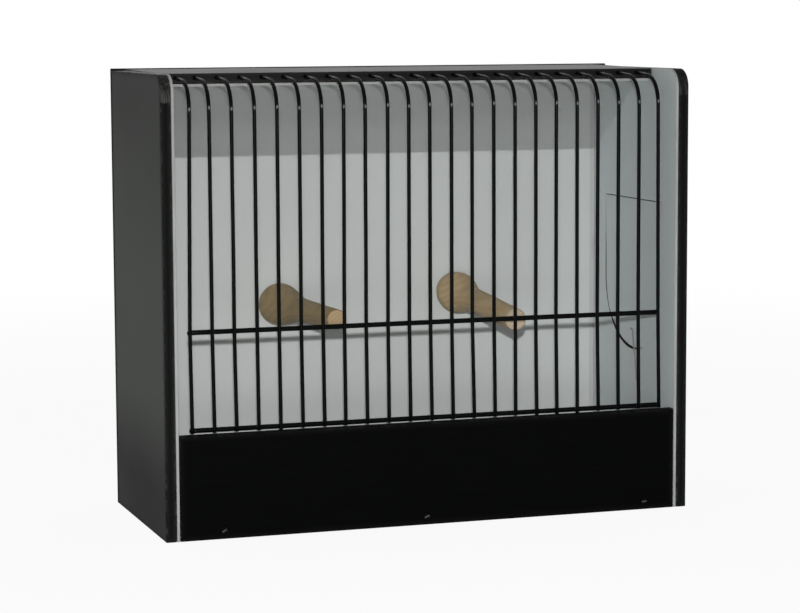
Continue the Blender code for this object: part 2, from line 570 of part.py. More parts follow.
def build_door(pieces):
    """Makes the door, its hinge, knob and turn button. Returns the pieces that swing and those that turn."""
    outline = d_outline(DOOR_CENTRE_Y, DOOR_FOOT_Z, DOORWAY_TOP - DOOR_TOP_GAP, DOOR_RADIUS)
    door = ease(end_prism("door_panel", outline, SIDE_INNER_X, SIDE_X, BLACK_PAINT))
    lining = end_prism("door_lining", outline, WALL_X, WALL_X + LINING_THICKNESS, WHITE_LINING)
    half = HINGE_LENGTH / 2
    inner = half - END_KNUCKLE_LENGTH
    beyond = half + KNUCKLE_RADIUS
    near = inner - KNUCKLE_GAP
    frame_leaf = hinge_leaf("hinge_leaf_frame", 1, ((-inner, inner),))
    door_leaf = hinge_leaf("hinge_leaf_door", -1, ((-beyond, -near), (near, beyond)))
    cap_z = half + SEAM
    pin_profile = [
        (0.0, cap_z + PIN_CAP_LENGTH),
        (PIN_CAP_RADIUS * 0.8, cap_z + PIN_CAP_LENGTH),
        (PIN_CAP_RADIUS, cap_z + PIN_CAP_LENGTH / 2),
        (PIN_CAP_RADIUS, cap_z),
        (PIN_RADIUS, cap_z),
    ]
    pin_profile += [(radius, -height) for radius, height in reversed(pin_profile)]
    turned("hinge_pin", pin_profile, Matrix.Translation((HINGE_X, DOORWAY_CENTRE_Y, HINGE_Z)) @ TOWARDS_REAR,
           FINE_SIDES, STEEL)
    swinging = [door, lining, door_leaf]
    head_x = OUTER_SEAT_X + HINGE_LEAF_THICKNESS + SEAM
    for part, sign, leaf, board in (("frame", 1, frame_leaf, pieces["side_panel_right"]), ("door", -1, door_leaf, door)):
        for end, side in (("front", -1), ("rear", 1)):
            y = DOORWAY_CENTRE_Y + side * HINGE_SCREW_SPACING / 2
            place = Matrix.Translation((head_x, y, HINGE_Z + sign * HINGE_SCREW_REACH)) @ TOWARDS_RIGHT
            screw = round_head_screw(f"hinge_screw_{part}_{end}", place, HINGE_SCREW_HEAD_RADIUS,
                                     HINGE_SCREW_SHANK_RADIUS, HINGE_SCREW_LENGTH, HINGE_SCREW_SLOT_TURNS[end],
                                     BRASS, leaf, board)
            if part == "door":
                swinging.append(screw)
    swinging.append(build_knob(door))
    return swinging, build_turn_button(pieces["side_panel_right"])


def build_knob(door):
    """Makes the door's turned knob, with its stem in the door."""
    neck_foot = KNOB_FOOT_DEPTH
    head_foot = neck_foot + KNOB_NECK_LENGTH
    profile = [
        (0.0, head_foot + KNOB_HEAD_DEPTH),
        (KNOB_HEAD_RADIUS * 0.60, head_foot + KNOB_HEAD_DEPTH * 0.93),
        (KNOB_HEAD_RADIUS * 0.92, head_foot + KNOB_HEAD_DEPTH * 0.76),
        (KNOB_HEAD_RADIUS, head_foot + KNOB_HEAD_DEPTH * 0.51),
        (KNOB_HEAD_RADIUS * 0.86, head_foot + KNOB_HEAD_DEPTH * 0.27),
        (KNOB_NECK_RADIUS, head_foot),
        (KNOB_NECK_RADIUS, neck_foot),
        (KNOB_FOOT_RADIUS, neck_foot * 0.64),
        (KNOB_FOOT_RADIUS, 0.0),
        (KNOB_STEM_RADIUS, 0.0),
        (KNOB_STEM_RADIUS, -KNOB_STEM_LENGTH),
        (0.0, -KNOB_STEM_LENGTH),
    ]
    place = Matrix.Translation((OUTER_SEAT_X, DOORWAY_CENTRE_Y, DOOR_FOOT_Z + KNOB_ABOVE_DOOR_FOOT)) @ TOWARDS_RIGHT
    bore = rod("knob_bore", (0, 0, KNOB_STEM_LENGTH), (0, 0, -KNOB_STEM_LENGTH - SEAT_DEPTH_SPARE),
               KNOB_STEM_RADIUS + SHANK_CLEARANCE)
    bore.matrix_world = place
    cut(door, bore)
    return turned("door_knob", profile, place, 20, BLACK_PAINT)


def build_turn_button(side_panel):
    """Makes the turn button, turned aside so that the door is free, and its screw. Returns the button."""
    outline = []
    for centre, first in ((BUTTON_LONG_ARM - BUTTON_RADIUS, -90), (-BUTTON_SHORT_ARM + BUTTON_RADIUS, 90)):
        for i in range(9):
            angle = math.radians(first + 22.5 * i)
            outline.append((DOORWAY_CENTRE_Y + centre + BUTTON_RADIUS * math.cos(angle),
                            BUTTON_HEIGHT + BUTTON_RADIUS * math.sin(angle)))
    button = end_prism("turn_button", outline, OUTER_SEAT_X, OUTER_SEAT_X + BUTTON_THICKNESS, BRASS)
    ease(button, EASED_EDGE / 2)
    hole = rod("button_hole", (SIDE_X - BUTTON_THICKNESS, DOORWAY_CENTRE_Y, BUTTON_HEIGHT),
               (SIDE_X + BUTTON_THICKNESS * 3, DOORWAY_CENTRE_Y, BUTTON_HEIGHT),
               BUTTON_SCREW_SHANK_RADIUS + BUTTON_HOLE_CLEARANCE)
    cut(button, hole)
    head_x = OUTER_SEAT_X + BUTTON_THICKNESS + SEAM
    place = Matrix.Translation((head_x, DOORWAY_CENTRE_Y, BUTTON_HEIGHT)) @ TOWARDS_RIGHT
    round_head_screw("turn_button_screw", place, BUTTON_SCREW_HEAD_RADIUS, BUTTON_SCREW_SHANK_RADIUS,
                     BUTTON_SCREW_LENGTH, BUTTON_SCREW_SLOT_TURN, STEEL, side_panel)
    return button


def build_stop_wire(pieces):
    """Makes the wire that the shut door rests on, with its foot bent into the wall under the doorway."""
    x = WALL_X - SEAM - STOP_WIRE_RADIUS
    line = [Vector((x, y, z)) for y, z in STOP_WIRE_LINE]
    foot = line[-1]
    inside = foot + Vector((SEAM + STOP_WIRE_RADIUS + STOP_WIRE_IN_WALL, 0, 0))
    path = [*line[:-1], *rounded_corner(line[-2], foot, inside, STOP_WIRE_CORNER, 4), inside]
    wire("door_stop_wire", path, STOP_WIRE_RADIUS, BLACK_WIRE)
    for name in ("side_lining_right", "side_panel_right"):
        bore = rod(f"stop_wire_seat_in_{name}", foot, inside + Vector((SEAT_DEPTH_SPARE, 0, 0)),
                   STOP_WIRE_RADIUS + STOP_WIRE_CORNER, 12)
        cut(pieces[name], bore)


def ride(name, place, objects):
    """Parents the objects to an empty on their joint's axis."""
    empty = bpy.data.objects.new(name, None)
    CAGE.objects.link(empty)
    empty.location = place
    for obj in objects:
        obj.parent = empty
        obj.matrix_parent_inverse = Matrix.Translation(place).inverted()


def main():
    """Builds the cage at rest, with the door shut and the turn button turned aside."""
    pieces = build_case()
    build_wire_front(pieces)
    build_perches(pieces)
    build_board_screws(pieces)
    swinging, button = build_door(pieces)
    build_stop_wire(pieces)
    ride("door_hinge_axis", (HINGE_X, DOORWAY_CENTRE_Y, HINGE_Z), swinging)
    ride("turn_button_axis", (OUTER_SEAT_X, DOORWAY_CENTRE_Y, BUTTON_HEIGHT), [button])


clear_scene()
CAGE = new_collection("bird_cage")
CUTTERS = new_collection("cutters", hidden=True)
main()
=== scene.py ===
"""Bird exhibition cage: painted case, enamelled wire front, turned perches and hinged end door, dressed and lit."""

import logging
import math
from dataclasses import dataclass
from enum import Enum
from typing import Any, Iterable, Mapping, Optional, Sequence, Tuple, Union

import bmesh
import bpy
from mathutils import Matrix, Vector, noise


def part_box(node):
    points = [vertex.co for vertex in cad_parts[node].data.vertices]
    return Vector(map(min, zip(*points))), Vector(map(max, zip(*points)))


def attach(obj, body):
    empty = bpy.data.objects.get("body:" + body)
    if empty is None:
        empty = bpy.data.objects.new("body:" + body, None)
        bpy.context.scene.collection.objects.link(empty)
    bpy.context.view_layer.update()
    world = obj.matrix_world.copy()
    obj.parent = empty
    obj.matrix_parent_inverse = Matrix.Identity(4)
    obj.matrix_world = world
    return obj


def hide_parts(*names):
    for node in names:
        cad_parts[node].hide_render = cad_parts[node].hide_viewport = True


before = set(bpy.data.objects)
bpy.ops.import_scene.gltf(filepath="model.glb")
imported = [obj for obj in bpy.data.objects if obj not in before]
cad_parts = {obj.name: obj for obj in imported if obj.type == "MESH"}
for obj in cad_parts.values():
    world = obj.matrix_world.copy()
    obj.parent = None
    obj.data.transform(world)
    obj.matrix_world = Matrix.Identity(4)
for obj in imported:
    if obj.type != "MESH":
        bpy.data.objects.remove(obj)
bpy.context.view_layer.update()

LOG = logging.getLogger("bird_cage")
MM = 0.001

Span = Tuple[float, float]
Colour = Tuple[float, float, float]
Point = Tuple[float, float, float]

BOARD_SMOOTH_ANGLE = 30.0
ROUND_SMOOTH_ANGLE = 60.0
PERCH_SMOOTH_ANGLE = 50.0
WELD_DISTANCE = 0.01 * MM
TINY = 0.001 * MM
BLUNT_RADIUS = 0.72
BLUNT_LENGTH = 0.28


class Grain(Enum):
    """The way that a board's brush marks run."""

    ALONG_X = (0.06, 1.0, 1.0)
    ALONG_Z = (1.0, 1.0, 0.06)


class Body(Enum):
    """The rigid bodies that the drawn pieces ride on."""

    CASE = "case"
    DOOR = "door"


@dataclass
class Channel:
    """One number of a shader, from an output socket of its graph, on which Python's operators work."""

    graph: "Graph"
    socket: bpy.types.NodeSocket

    def _maths(self, operation: str, *values: Any) -> "Channel":
        """Returns the result of one Math node on the values, in order."""
        node = self.graph.node("ShaderNodeMath", {"operation": operation}, dict(enumerate(values)))
        return Channel(self.graph, node.outputs[0])

    def __add__(self, other: Any) -> "Channel":
        """Adds."""
        return self._maths("ADD", self, other)

    __radd__ = __add__

    def __sub__(self, other: Any) -> "Channel":
        """Subtracts."""
        return self._maths("SUBTRACT", self, other)

    def __rsub__(self, other: Any) -> "Channel":
        """Subtracts this from a number."""
        return self._maths("SUBTRACT", other, self)

    def __mul__(self, other: Any) -> "Channel":
        """Multiplies."""
        return self._maths("MULTIPLY", self, other)

    __rmul__ = __mul__

    def __pow__(self, other: Any) -> "Channel":
        """Raises to a power."""
        return self._maths("POWER", self, other)

    def __abs__(self) -> "Channel":
        """Drops the sign."""
        return self._maths("ABSOLUTE", self)

    def least(self, other: Any) -> "Channel":
        """Returns the smaller of the two."""
        return self._maths("MINIMUM", self, other)

    def most(self, other: Any) -> "Channel":
        """Returns the larger of the two."""
        return self._maths("MAXIMUM", self, other)

    def root(self) -> "Channel":
        """Returns the square root."""
        return self._maths("SQRT", self)

    def wave(self) -> "Channel":
        """Returns the sine."""
        return self._maths("SINE", self)

    def ramp(self, low: float, high: float, out_low: float = 0.0, out_high: float = 1.0) -> "Channel":
        """Maps low to out_low and high to out_high, smoothly, and holds the ends."""
        node = self.graph.node(
            "ShaderNodeMapRange",
            {"interpolation_type": "SMOOTHSTEP"},
            {"Value": self, "From Min": low, "From Max": high, "To Min": out_low, "To Max": out_high},
        )
        return Channel(self.graph, node.outputs[0])


@dataclass
class Graph:
    """The nodes of one tree, a material's, the surround's or a modifier's, with its main shader."""

    tree: bpy.types.NodeTree
    surface: Optional[bpy.types.Node] = None
    material: Optional[bpy.types.Material] = None
    coordinates: Optional[bpy.types.Node] = None

    @classmethod
    def of_material(cls, name: str) -> "Graph":
        """Makes a material.

        Args:
            name: The material's name.

        Returns:
            Its graph, round its Principled shader.
        """
        material = bpy.data.materials.new(name)
        material.use_nodes = True
        return cls(material.node_tree, material.node_tree.nodes["Principled BSDF"], material)

    def node(
        self,
        kind: str,
        settings: Optional[Mapping[str, Any]] = None,
        values: Optional[Mapping[Union[str, int], Any]] = None,
    ) -> bpy.types.Node:
        """Adds any node.

        Args:
            kind: The node's type.
            settings: Its properties, which are set first.
            values: The value or link of each socket, by name or place.

        Returns:
            The node.
        """
        node = self.tree.nodes.new(kind)
        for key, value in (settings or {}).items():
            setattr(node, key, value)
        for key, value in (values or {}).items():
            self.put(node.inputs[key], value)
        return node

    def put(self, socket: bpy.types.NodeSocket, value: Any) -> None:
        """Links or sets a socket.

        Args:
            socket: The input socket.
            value: A channel, a socket, a colour or a number.
        """
        source = value.socket if isinstance(value, Channel) else value
        if isinstance(source, bpy.types.NodeSocket):
            self.tree.links.new(source, socket)
        elif isinstance(value, tuple) and socket.type == "RGBA" and len(value) == 3:
            socket.default_value = (*value, 1.0)
        else:
            socket.default_value = value

    def set(self, **values: Any) -> None:
        """Sets or links the main shader's sockets, named with underscores for spaces."""
        for name, value in values.items():
            self.put(self.surface.inputs[name.replace("_", " ")], value)

    def place(self, source: str) -> bpy.types.NodeSocket:
        """Returns an output of the graph's one coordinates node."""
        self.coordinates = self.coordinates or self.node("ShaderNodeTexCoord")
        return self.coordinates.outputs[source]

    def split(self, source: str) -> Tuple[Channel, Channel, Channel]:
        """Returns the x, y and z of an output of the coordinates node."""
        node = self.node("ShaderNodeSeparateXYZ", None, {0: self.place(source)})
        return tuple(Channel(self, output) for output in node.outputs)

    def axes(self) -> Tuple[Channel, Channel, Channel]:
        """Returns the point's x, y and z in the object's own frame."""
        return self.split("Object")

    def facing(self) -> Tuple[Channel, Channel, Channel]:
        """Returns the x, y and z of the surface's direction, in the object's own frame."""
        return self.split("Normal")

    def stretched(self, scale: Point) -> bpy.types.NodeSocket:
        """Returns the point, scaled on each axis."""
        node = self.node("ShaderNodeVectorMath", {"operation": "MULTIPLY"}, {0: self.place("Object"), 1: scale})
        return node.outputs[0]

    def cloud(
        self, scale: float, detail: float = 3.0, stretch: Point = (1.0, 1.0, 1.0), twist: float = 0.0
    ) -> Channel:
        """Returns soft noise from 0 to 1: features per metre, octaves, a factor on each axis, and distortion."""
        node = self.node(
            "ShaderNodeTexNoise",
            None,
            {"Vector": self.stretched(stretch), "Scale": scale, "Detail": detail, "Distortion": twist},
        )
        return Channel(self, node.outputs[0])

    def specks(self, scale: float, radius: float) -> Channel:
        """Returns small round spots, with their number per metre, and their radius as a share of their spacing."""
        node = self.node("ShaderNodeTexVoronoi", None, {"Vector": self.place("Object"), "Scale": scale})
        return Channel(self, node.outputs["Distance"]).ramp(radius, radius * 0.4)

    def blend(self, factor: Any, first: Any, second: Any) -> bpy.types.NodeSocket:
        """Mixes two colours or links. The factor is the second one's share."""
        node = self.node("ShaderNodeMix", {"data_type": "RGBA"}, {0: factor, 6: first, 7: second})
        return node.outputs[2]

    def relief(self, height: Channel, depth: float) -> None:
        """Feeds a height from 0 to 1 into the surface's normal. The depth is in metres."""
        bump = self.node("ShaderNodeBump", None, {"Strength": 1.0, "Distance": depth, "Height": height})
        self.set(Normal=bump.outputs[0])

    def seen(self) -> Channel:
        """Tells the camera's rays from other light.

        Returns:
            1 for what the camera sees, also by way of metal or glass, or else 0.
        """
        paths = self.node("ShaderNodeLightPath")
        direct, mirrored, through = (
            Channel(self, paths.outputs[f"Is {ray} Ray"]) for ray in ("Camera", "Glossy", "Transmission")
        )
        return direct.most(mirrored).most(through)


@dataclass(frozen=True)
class Box:
    """The lowest and highest corners of a piece."""

    low: Point
    high: Point

    @classmethod
    def of(cls, node: str) -> "Box":
        """Returns the box of a CAD node."""
        low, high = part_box(node)
        return cls(tuple(low), tuple(high))

    def middle(self, axis: int) -> float:
        """Returns the box's middle on an axis."""
        return (self.low[axis] + self.high[axis]) / 2

    def thin_axis(self) -> int:
        """Returns the axis on which the box is thinnest: 0, 1 or 2."""
        return min(range(3), key=lambda axis: self.high[axis] - self.low[axis])

    def edge_distance(self, g: Graph) -> Channel:
        """Returns how far a point on the box's surface lies from the nearest edge."""
        a, b, c = (
            (self.high[axis] - self.low[axis]) / 2 - abs(place - self.middle(axis))
            for axis, place in enumerate(g.axes())
        )
        return a.least(b).most(a.most(b).least(c))


class Finish:
    """A finish for one kind of surface."""

    def material(self, name: str, *fit: Any) -> bpy.types.Material:
        """Makes a material of this finish.

        Args:
            name: The material's name.
            fit: What the finish is fitted to, such as the piece's box.

        Returns:
            The material.
        """
        g = Graph.of_material(name)
        self.spread(g, *fit)
        return g.material

    def spread(self, g: Graph, *fit: Any) -> None:
        """Lays the finish on a material's graph."""
        raise NotImplementedError


@dataclass(frozen=True)
class BlackPaint(Finish):
    """Gloss black paint on thin board: brush marks, dull patches, dust, greyed edges, painted sheen on broad faces and
    top, and front corners streaked lighter, part scrape and part painted sheen.
    """

    tone: Colour = (0.0034, 0.0036, 0.0036)
    worn: Colour = (0.030, 0.030, 0.029)
    scrape_sheen: Colour = (0.070, 0.070, 0.067)
    dust: Colour = (0.060, 0.059, 0.056)
    roughness: float = 0.42
    gloss: float = 0.022
    wear: float = 1.0
    grain: Grain = Grain.ALONG_Z
    edge_rub: Span = (1.6 * MM, 0.2 * MM)
    edge_haze: Span = (4.5 * MM, 1.0 * MM)
    haze_share: float = 0.22
    # Front corners streaked lighter, part scrape and part painted sheen: its strength, reach and ragged edge.
    scrape_and_sheen: float = 0.0
    corner_reach: float = 17.0 * MM
    corner_ragged: float = 1.5 * MM
    # Painted sheen: a paler grey on the broad faces, and the heights (foot, low, middle, top) over which it rises and
    # falls.
    sheen_paint: Optional[Colour] = None
    sheen_span: Tuple[float, float, float, float] = (0.026, 0.092, 0.150, 0.290)
    # Painted sheen: a lighter grey on the board's top face, and the depth below the top that it covers.
    top_sheen: Optional[Colour] = None
    top_depth: Span = (-0.5 * MM, -0.1 * MM)
    brush_depth: float = 0.06 * MM

    def spread(self, g: Graph, box: Box) -> None:
        """Paints one board.

        Args:
            g: The paint's graph.
            box: The board's box, for its worn edges.
        """
        brush = g.cloud(420.0, 2.0, self.grain.value)
        patches = g.cloud(14.0, 4.0)
        nicks = g.cloud(260.0, 5.0)
        edge = box.edge_distance(g)
        nicked = edge.ramp(*self.edge_rub) * nicks.ramp(0.42, 0.66)
        rubbed = (nicked + edge.ramp(*self.edge_haze) * self.haze_share) * self.wear
        settled = g.specks(900.0, 0.13) * patches.ramp(0.40, 0.75)
        base = g.blend(brush.ramp(0.3, 0.7, 0.0, 0.35), self.tone, tuple(c * 1.5 for c in self.tone))
        _, _, z = g.axes()
        # Painted sheen: paler grey on the broad faces, rising from the foot and falling toward the top, with random
        # patches.
        if self.sheen_paint:
            foot, low, middle, top = self.sheen_span
            height = z.ramp(foot, low) * z.ramp(middle, top, 1.0, 0.45)
            broad = abs(g.facing()[box.thin_axis()]).ramp(0.4, 0.8)
            base = g.blend(height * broad * patches.ramp(0.2, 0.8, 0.85, 1.0), base, self.sheen_paint)
        # Painted sheen: the top face is laid lighter grey.
        if self.top_sheen:
            base = g.blend((z - box.high[2]).ramp(*self.top_depth, 0.0, 0.9), base, self.top_sheen)
        greyed = g.blend(rubbed, base, self.worn)
        # Front corners: streaks that are part scrape and part painted sheen.
        if self.scrape_and_sheen:
            greyed = g.blend(self._scrape_and_sheen(g, box) * self.scrape_and_sheen, greyed, self.scrape_sheen)
        dimmed = patches.ramp(0.25, 0.8, self.roughness - 0.02, self.roughness + 0.03)
        g.set(
            Base_Color=g.blend(settled * 0.35, greyed, self.dust),
            Roughness=dimmed + rubbed * 0.25 + settled * 0.2,
            Specular_IOR_Level=self.gloss,
        )
        g.relief(brush * 0.7 + nicks * 0.3, self.brush_depth)

    def _scrape_and_sheen(self, g: Graph, box: Box) -> Channel:
        """Streaks a board's rounded top front corner lighter, part scrape and part painted sheen where the corner
        turns up to the light, and not its broad faces.

        Args:
            g: The paint's graph.
            box: The board's box.

        Returns:
            The streaks, from 0 to 1.
        """
        _, y, z = g.axes()
        streaks = g.cloud(900.0, 3.0, (1.0, 1.0, 0.10)).ramp(0.40, 0.66, 0.15, 1.0)
        ragged = g.cloud(500.0, 2.0) * self.corner_ragged
        high = (z + ragged - box.high[2] + self.corner_reach).ramp(0.0, 1.2 * MM)
        fading = (z - box.high[2]).ramp(-self.corner_reach, -4.0 * MM, 1.0, 0.55)
        front = (y - box.low[1]).ramp(self.corner_reach, self.corner_reach * 0.6)
        narrow = abs(g.facing()[0]).ramp(0.95, 0.6)
        return high * fading * front * narrow * streaks


# Painted sheen greys laid on the broad faces in place of the gloss reflection: one for the sides and door, one for the
# back.
SHEEN_GREY = (0.056, 0.063, 0.055)
SHEEN_GREY_BACK = (0.026, 0.0275, 0.026)
# The grey of the painted sheen on a top face.
TOP_SHEEN = (0.15, 0.15, 0.145)


@dataclass(frozen=True)
class PaintedScrew(Finish):
    """A screw head under the board's black paint, with a painted glint: a streak of bare-metal grey along one side of
    its slot.
    """

    turn: float
    tone: Colour = (0.0018, 0.0019, 0.0019)
    # The grey of the painted glint.
    bare: Colour = (0.125, 0.125, 0.122)
    half_length: float = 2.3 * MM
    half_width: float = 0.75 * MM
    film_depth: float = 0.05 * MM

    def spread(self, g: Graph, box: Box) -> None:
        """Paints one head.

        Args:
            g: The paint's graph.
            box: The screw's box.
        """
        x, _, z = g.axes()
        right, up = x - box.middle(0), z - box.middle(2)
        cosine, sine = math.cos(math.radians(self.turn)), math.sin(math.radians(self.turn))
        along, across = abs(right * cosine + up * sine), abs(up * cosine - right * sine)
        film = g.cloud(900.0, 3.0)
        # Painted glint: a light streak along one side of the slot.
        slot_glint = along.ramp(self.half_length, self.half_length * 0.3) * across.ramp(self.half_width, 0.0)
        g.set(
            Base_Color=g.blend(slot_glint * film.ramp(0.25, 0.6, 0.6, 1.0), self.tone, self.bare),
            Roughness=film.ramp(0.3, 0.8, 0.38, 0.55),
            Specular_IOR_Level=0.02,
        )
        g.relief(film, self.film_depth)


@dataclass(frozen=True)
class Doorway:
    """The D-shaped opening in the right end: straight sides over a half round foot."""

    centre_y: float = -3.0 * MM
    radius: float = 48.0 * MM
    foot_z: float = 98.0 * MM
    top_z: float = 202.7 * MM
    turn_half: float = 4.0 * MM
    top_fade: Span = (-2.0 * MM, -6.0 * MM)

    def outside(self, g: Graph) -> Channel:
        """Measures from the opening's edge.

        Args:
            g: The graph that needs it.

        Returns:
            How far a point lies outside the opening, negative within it.
        """
        _, y, z = g.axes()
        across = y - self.centre_y
        below = (z - (self.foot_z + self.radius)).least(0.0)
        return ((across * across + below * below).root() - self.radius).most(z - self.top_z)

    def rear(self, g: Graph) -> Channel:
        """Returns 1 along the opening's rear side, and 0 along its front."""
        _, y, z = g.axes()
        return (y - self.centre_y).ramp(-self.turn_half, self.turn_half) * (z - self.top_z).ramp(*self.top_fade)


@dataclass(frozen=True)
class WhiteLining(Finish):
    """Satin white paint on lining board: faint brush marks, grubby patches and a few scuffs, with painted shade
    towards the front and along a corner, and a painted highlight along the doorway's rear lip.
    """

    tone: Colour = (0.480, 0.498, 0.488)
    shade: Colour = (0.452, 0.468, 0.458)
    grime: Colour = (0.300, 0.300, 0.285)
    rim: Colour = (0.285, 0.288, 0.280)
    cut: Colour = (0.010, 0.010, 0.009)
    # The pale colour of the painted highlight on the doorway's lip.
    lip_highlight: Colour = (0.700, 0.720, 0.720)
    lip: float = 0.45 * MM
    roughness: float = 0.55
    gloss: float = 0.15
    grain: Grain = Grain.ALONG_Z
    rimmed: bool = False
    doorway: Optional[Doorway] = None
    # Painted shade: a darker colour blended in towards the front, and the span of y over which it comes in.
    dimmed: Optional[Colour] = None
    front_shade_span: Span = (0.070, -0.060)
    # Painted shade along a corner: its x, its strength and its width.
    corner_x: float = 0.0
    corner_shade: float = 0.0
    corner_width: float = 0.4 * MM
    dirt_width: float = 6.0 * MM
    cut_width: Span = (0.20 * MM, 0.08 * MM)
    cut_depth: Span = (0.02 * MM, 0.10 * MM)
    brush_depth: float = 0.08 * MM

    def spread(self, g: Graph, box: Box) -> None:
        """Paints one lining.

        Args:
            g: The paint's graph.
            box: The lining's box, for the dirt along its edges.
        """
        brush = g.cloud(300.0, 2.0, self.grain.value)
        patches = g.cloud(9.0, 4.0)
        scuffs = g.cloud(70.0, 5.0, (1.0, 1.0, 0.25), 1.5)
        edge = box.edge_distance(g)
        dirt = edge.ramp(self.dirt_width, 0.0) * scuffs.ramp(0.50, 0.80) * 0.5 + scuffs.ramp(0.70, 0.80) * 0.12
        paint = g.blend(patches.ramp(0.3, 0.75), self.tone, self.shade)
        x, y, _ = g.axes()
        # Painted shade: the lining is blended darker towards the front.
        if self.dimmed:
            paint = g.blend(y.ramp(*self.front_shade_span), paint, self.dimmed)
        # Painted shade: a strip along the corner is darkened with the grime colour.
        if self.corner_shade:
            corner = abs(x).ramp(self.corner_x - self.corner_width, self.corner_x, 0.0, self.corner_shade)
            paint = g.blend(corner, paint, self.grime)
        if self.rimmed:
            _, across, _ = g.facing()
            handled = across.ramp(-0.12, -0.35) * scuffs.ramp(0.30, 0.60, 0.75, 1.0)
            paint = g.blend(handled, paint, self.rim)
        if self.doorway:
            off = self.doorway.outside(g)
            behind = self.doorway.rear(g)
            # Painted highlight: a pale line just outside the doorway's rear edge, where its lip catches the light.
            lit = off.ramp(self.lip, self.lip * 0.5) * behind * scuffs.ramp(0.25, 0.55, 0.35, 1.0)
            paint = g.blend(lit, paint, self.lip_highlight)
            edge_on = abs(off).ramp(*self.cut_width) * behind
            paint = g.blend(edge_on * (x - box.low[0]).ramp(*self.cut_depth), paint, self.cut)
        g.set(
            Base_Color=g.blend(dirt, paint, self.grime),
            Roughness=brush.ramp(0.2, 0.8, self.roughness - 0.06, self.roughness + 0.08),
            Specular_IOR_Level=self.gloss,
        )
        g.relief(brush * 0.6 + patches * 0.4, self.brush_depth)


# Painted light: a paler, cooler white than the other linings, standing for the light on the right end's walls.
LIT_COOL_WHITE = ((0.565, 0.608, 0.613), (0.540, 0.580, 0.585))
# Painted shade for the front of the cool white linings.
COOL_WHITE_SHADED = (0.425, 0.458, 0.462)


@dataclass(frozen=True)
class WireEnamel(Finish):
    """Black stoving enamel on wire: runs, dull patches, small bare spots, and a painted glint on the front of each
    wire where it bends.
    """

    tone: Colour = (0.0020, 0.0023, 0.0023)
    rubbed: Colour = (0.012, 0.012, 0.012)
    roughness: float = 0.27
    gloss: float = 0.032
    # Painted glint where each wire starts to bend: its height, waver, reach and colour.
    bend_z: float = 270.5 * MM
    bend_waver: float = 0.5 * MM
    bend_reach: Span = (1.5 * MM, 0.3 * MM)
    bend_glint: Colour = (0.140, 0.142, 0.140)
    run_depth: float = 0.04 * MM

    def spread(self, g: Graph) -> None:
        """Enamels the wires.

        Args:
            g: The enamel's graph.
        """
        runs = g.cloud(160.0, 3.0, (1.0, 1.0, 0.3))
        spots = g.cloud(700.0, 3.0)
        bare = spots.ramp(0.70, 0.80) * 0.5
        x, _, z = g.axes()
        _, across, _ = g.facing()
        # Painted glint: a pale mark on the front face of each wire at the start of its bend.
        place = abs(z - self.bend_z + (x * 700.0).wave() * self.bend_waver)
        bend = place.ramp(*self.bend_reach) * across.ramp(-0.72, -0.95)
        g.set(
            Base_Color=g.blend(bend, g.blend(bare, self.tone, self.rubbed), self.bend_glint),
            Roughness=runs.ramp(0.3, 0.7, self.roughness - 0.05, self.roughness + 0.08),
            Specular_IOR_Level=self.gloss,
        )
        g.relief(runs * 0.7 + spots * 0.3, self.run_depth)


@dataclass(frozen=True)
class TurnedWood(Finish):
    """Bare turned wood, handled for years: grain along the perch, turning marks, and pale ringed end grain."""

    early: Colour
    late: Colour
    grime: Colour = (0.120, 0.098, 0.062)
    end: Colour = (0.325, 0.236, 0.132)
    ring: Colour = (0.240, 0.160, 0.082)
    heart: Span = (6.0 * MM, -9.0 * MM)
    ring_spacing: float = 2.4 * MM
    ring_wander: float = 10.0 * MM
    mark_spacing: float = 1.6 * MM
    end_depth: Span = (1.2 * MM, 0.4 * MM)
    grain_depth: float = 0.10 * MM

    def spread(self, g: Graph, end: Point) -> None:
        """Grows the wood of one perch.

        Args:
            g: The wood's graph.
            end: The middle of the perch's free end, which the rings' heart is set off from.
        """
        x, y, z = g.axes()
        heart_x, heart_z = end[0] + self.heart[0], end[2] + self.heart[1]
        wander = g.cloud(22.0, 3.0, (1.0, 0.12, 1.0)) * self.ring_wander
        from_heart = ((x - heart_x) ** 2 + (z - heart_z) ** 2).root() + wander
        rings = (from_heart * (2 * math.pi / self.ring_spacing)).wave().ramp(-0.4, 1.0)
        fibre = g.cloud(1300.0, 3.0, (1.0, 0.04, 1.0))
        flecks = g.cloud(520.0, 2.0, (1.0, 0.10, 1.0)).ramp(0.60, 0.72)
        blotch = g.cloud(38.0, 4.0)
        marks = (y * (2 * math.pi / self.mark_spacing)).wave()
        side = g.blend(rings * 0.45 + fibre.ramp(0.35, 0.7) * 0.35, self.early, self.late)
        side = g.blend(flecks * 0.35, side, self.late)
        side = g.blend(blotch.ramp(0.48, 0.78) * 0.55, side, self.grime)
        cut = g.blend(rings * 0.55, self.end, self.ring)
        cut = g.blend(blotch.ramp(0.5, 0.9) * 0.4, cut, self.early)
        g.set(
            Base_Color=g.blend((y - end[1]).ramp(*self.end_depth), side, cut),
            Roughness=blotch.ramp(0.3, 0.8, 0.48, 0.66),
            Specular_IOR_Level=0.35,
        )
        g.relief(fibre * 0.5 + marks * 0.12 + rings * 0.2, self.grain_depth)


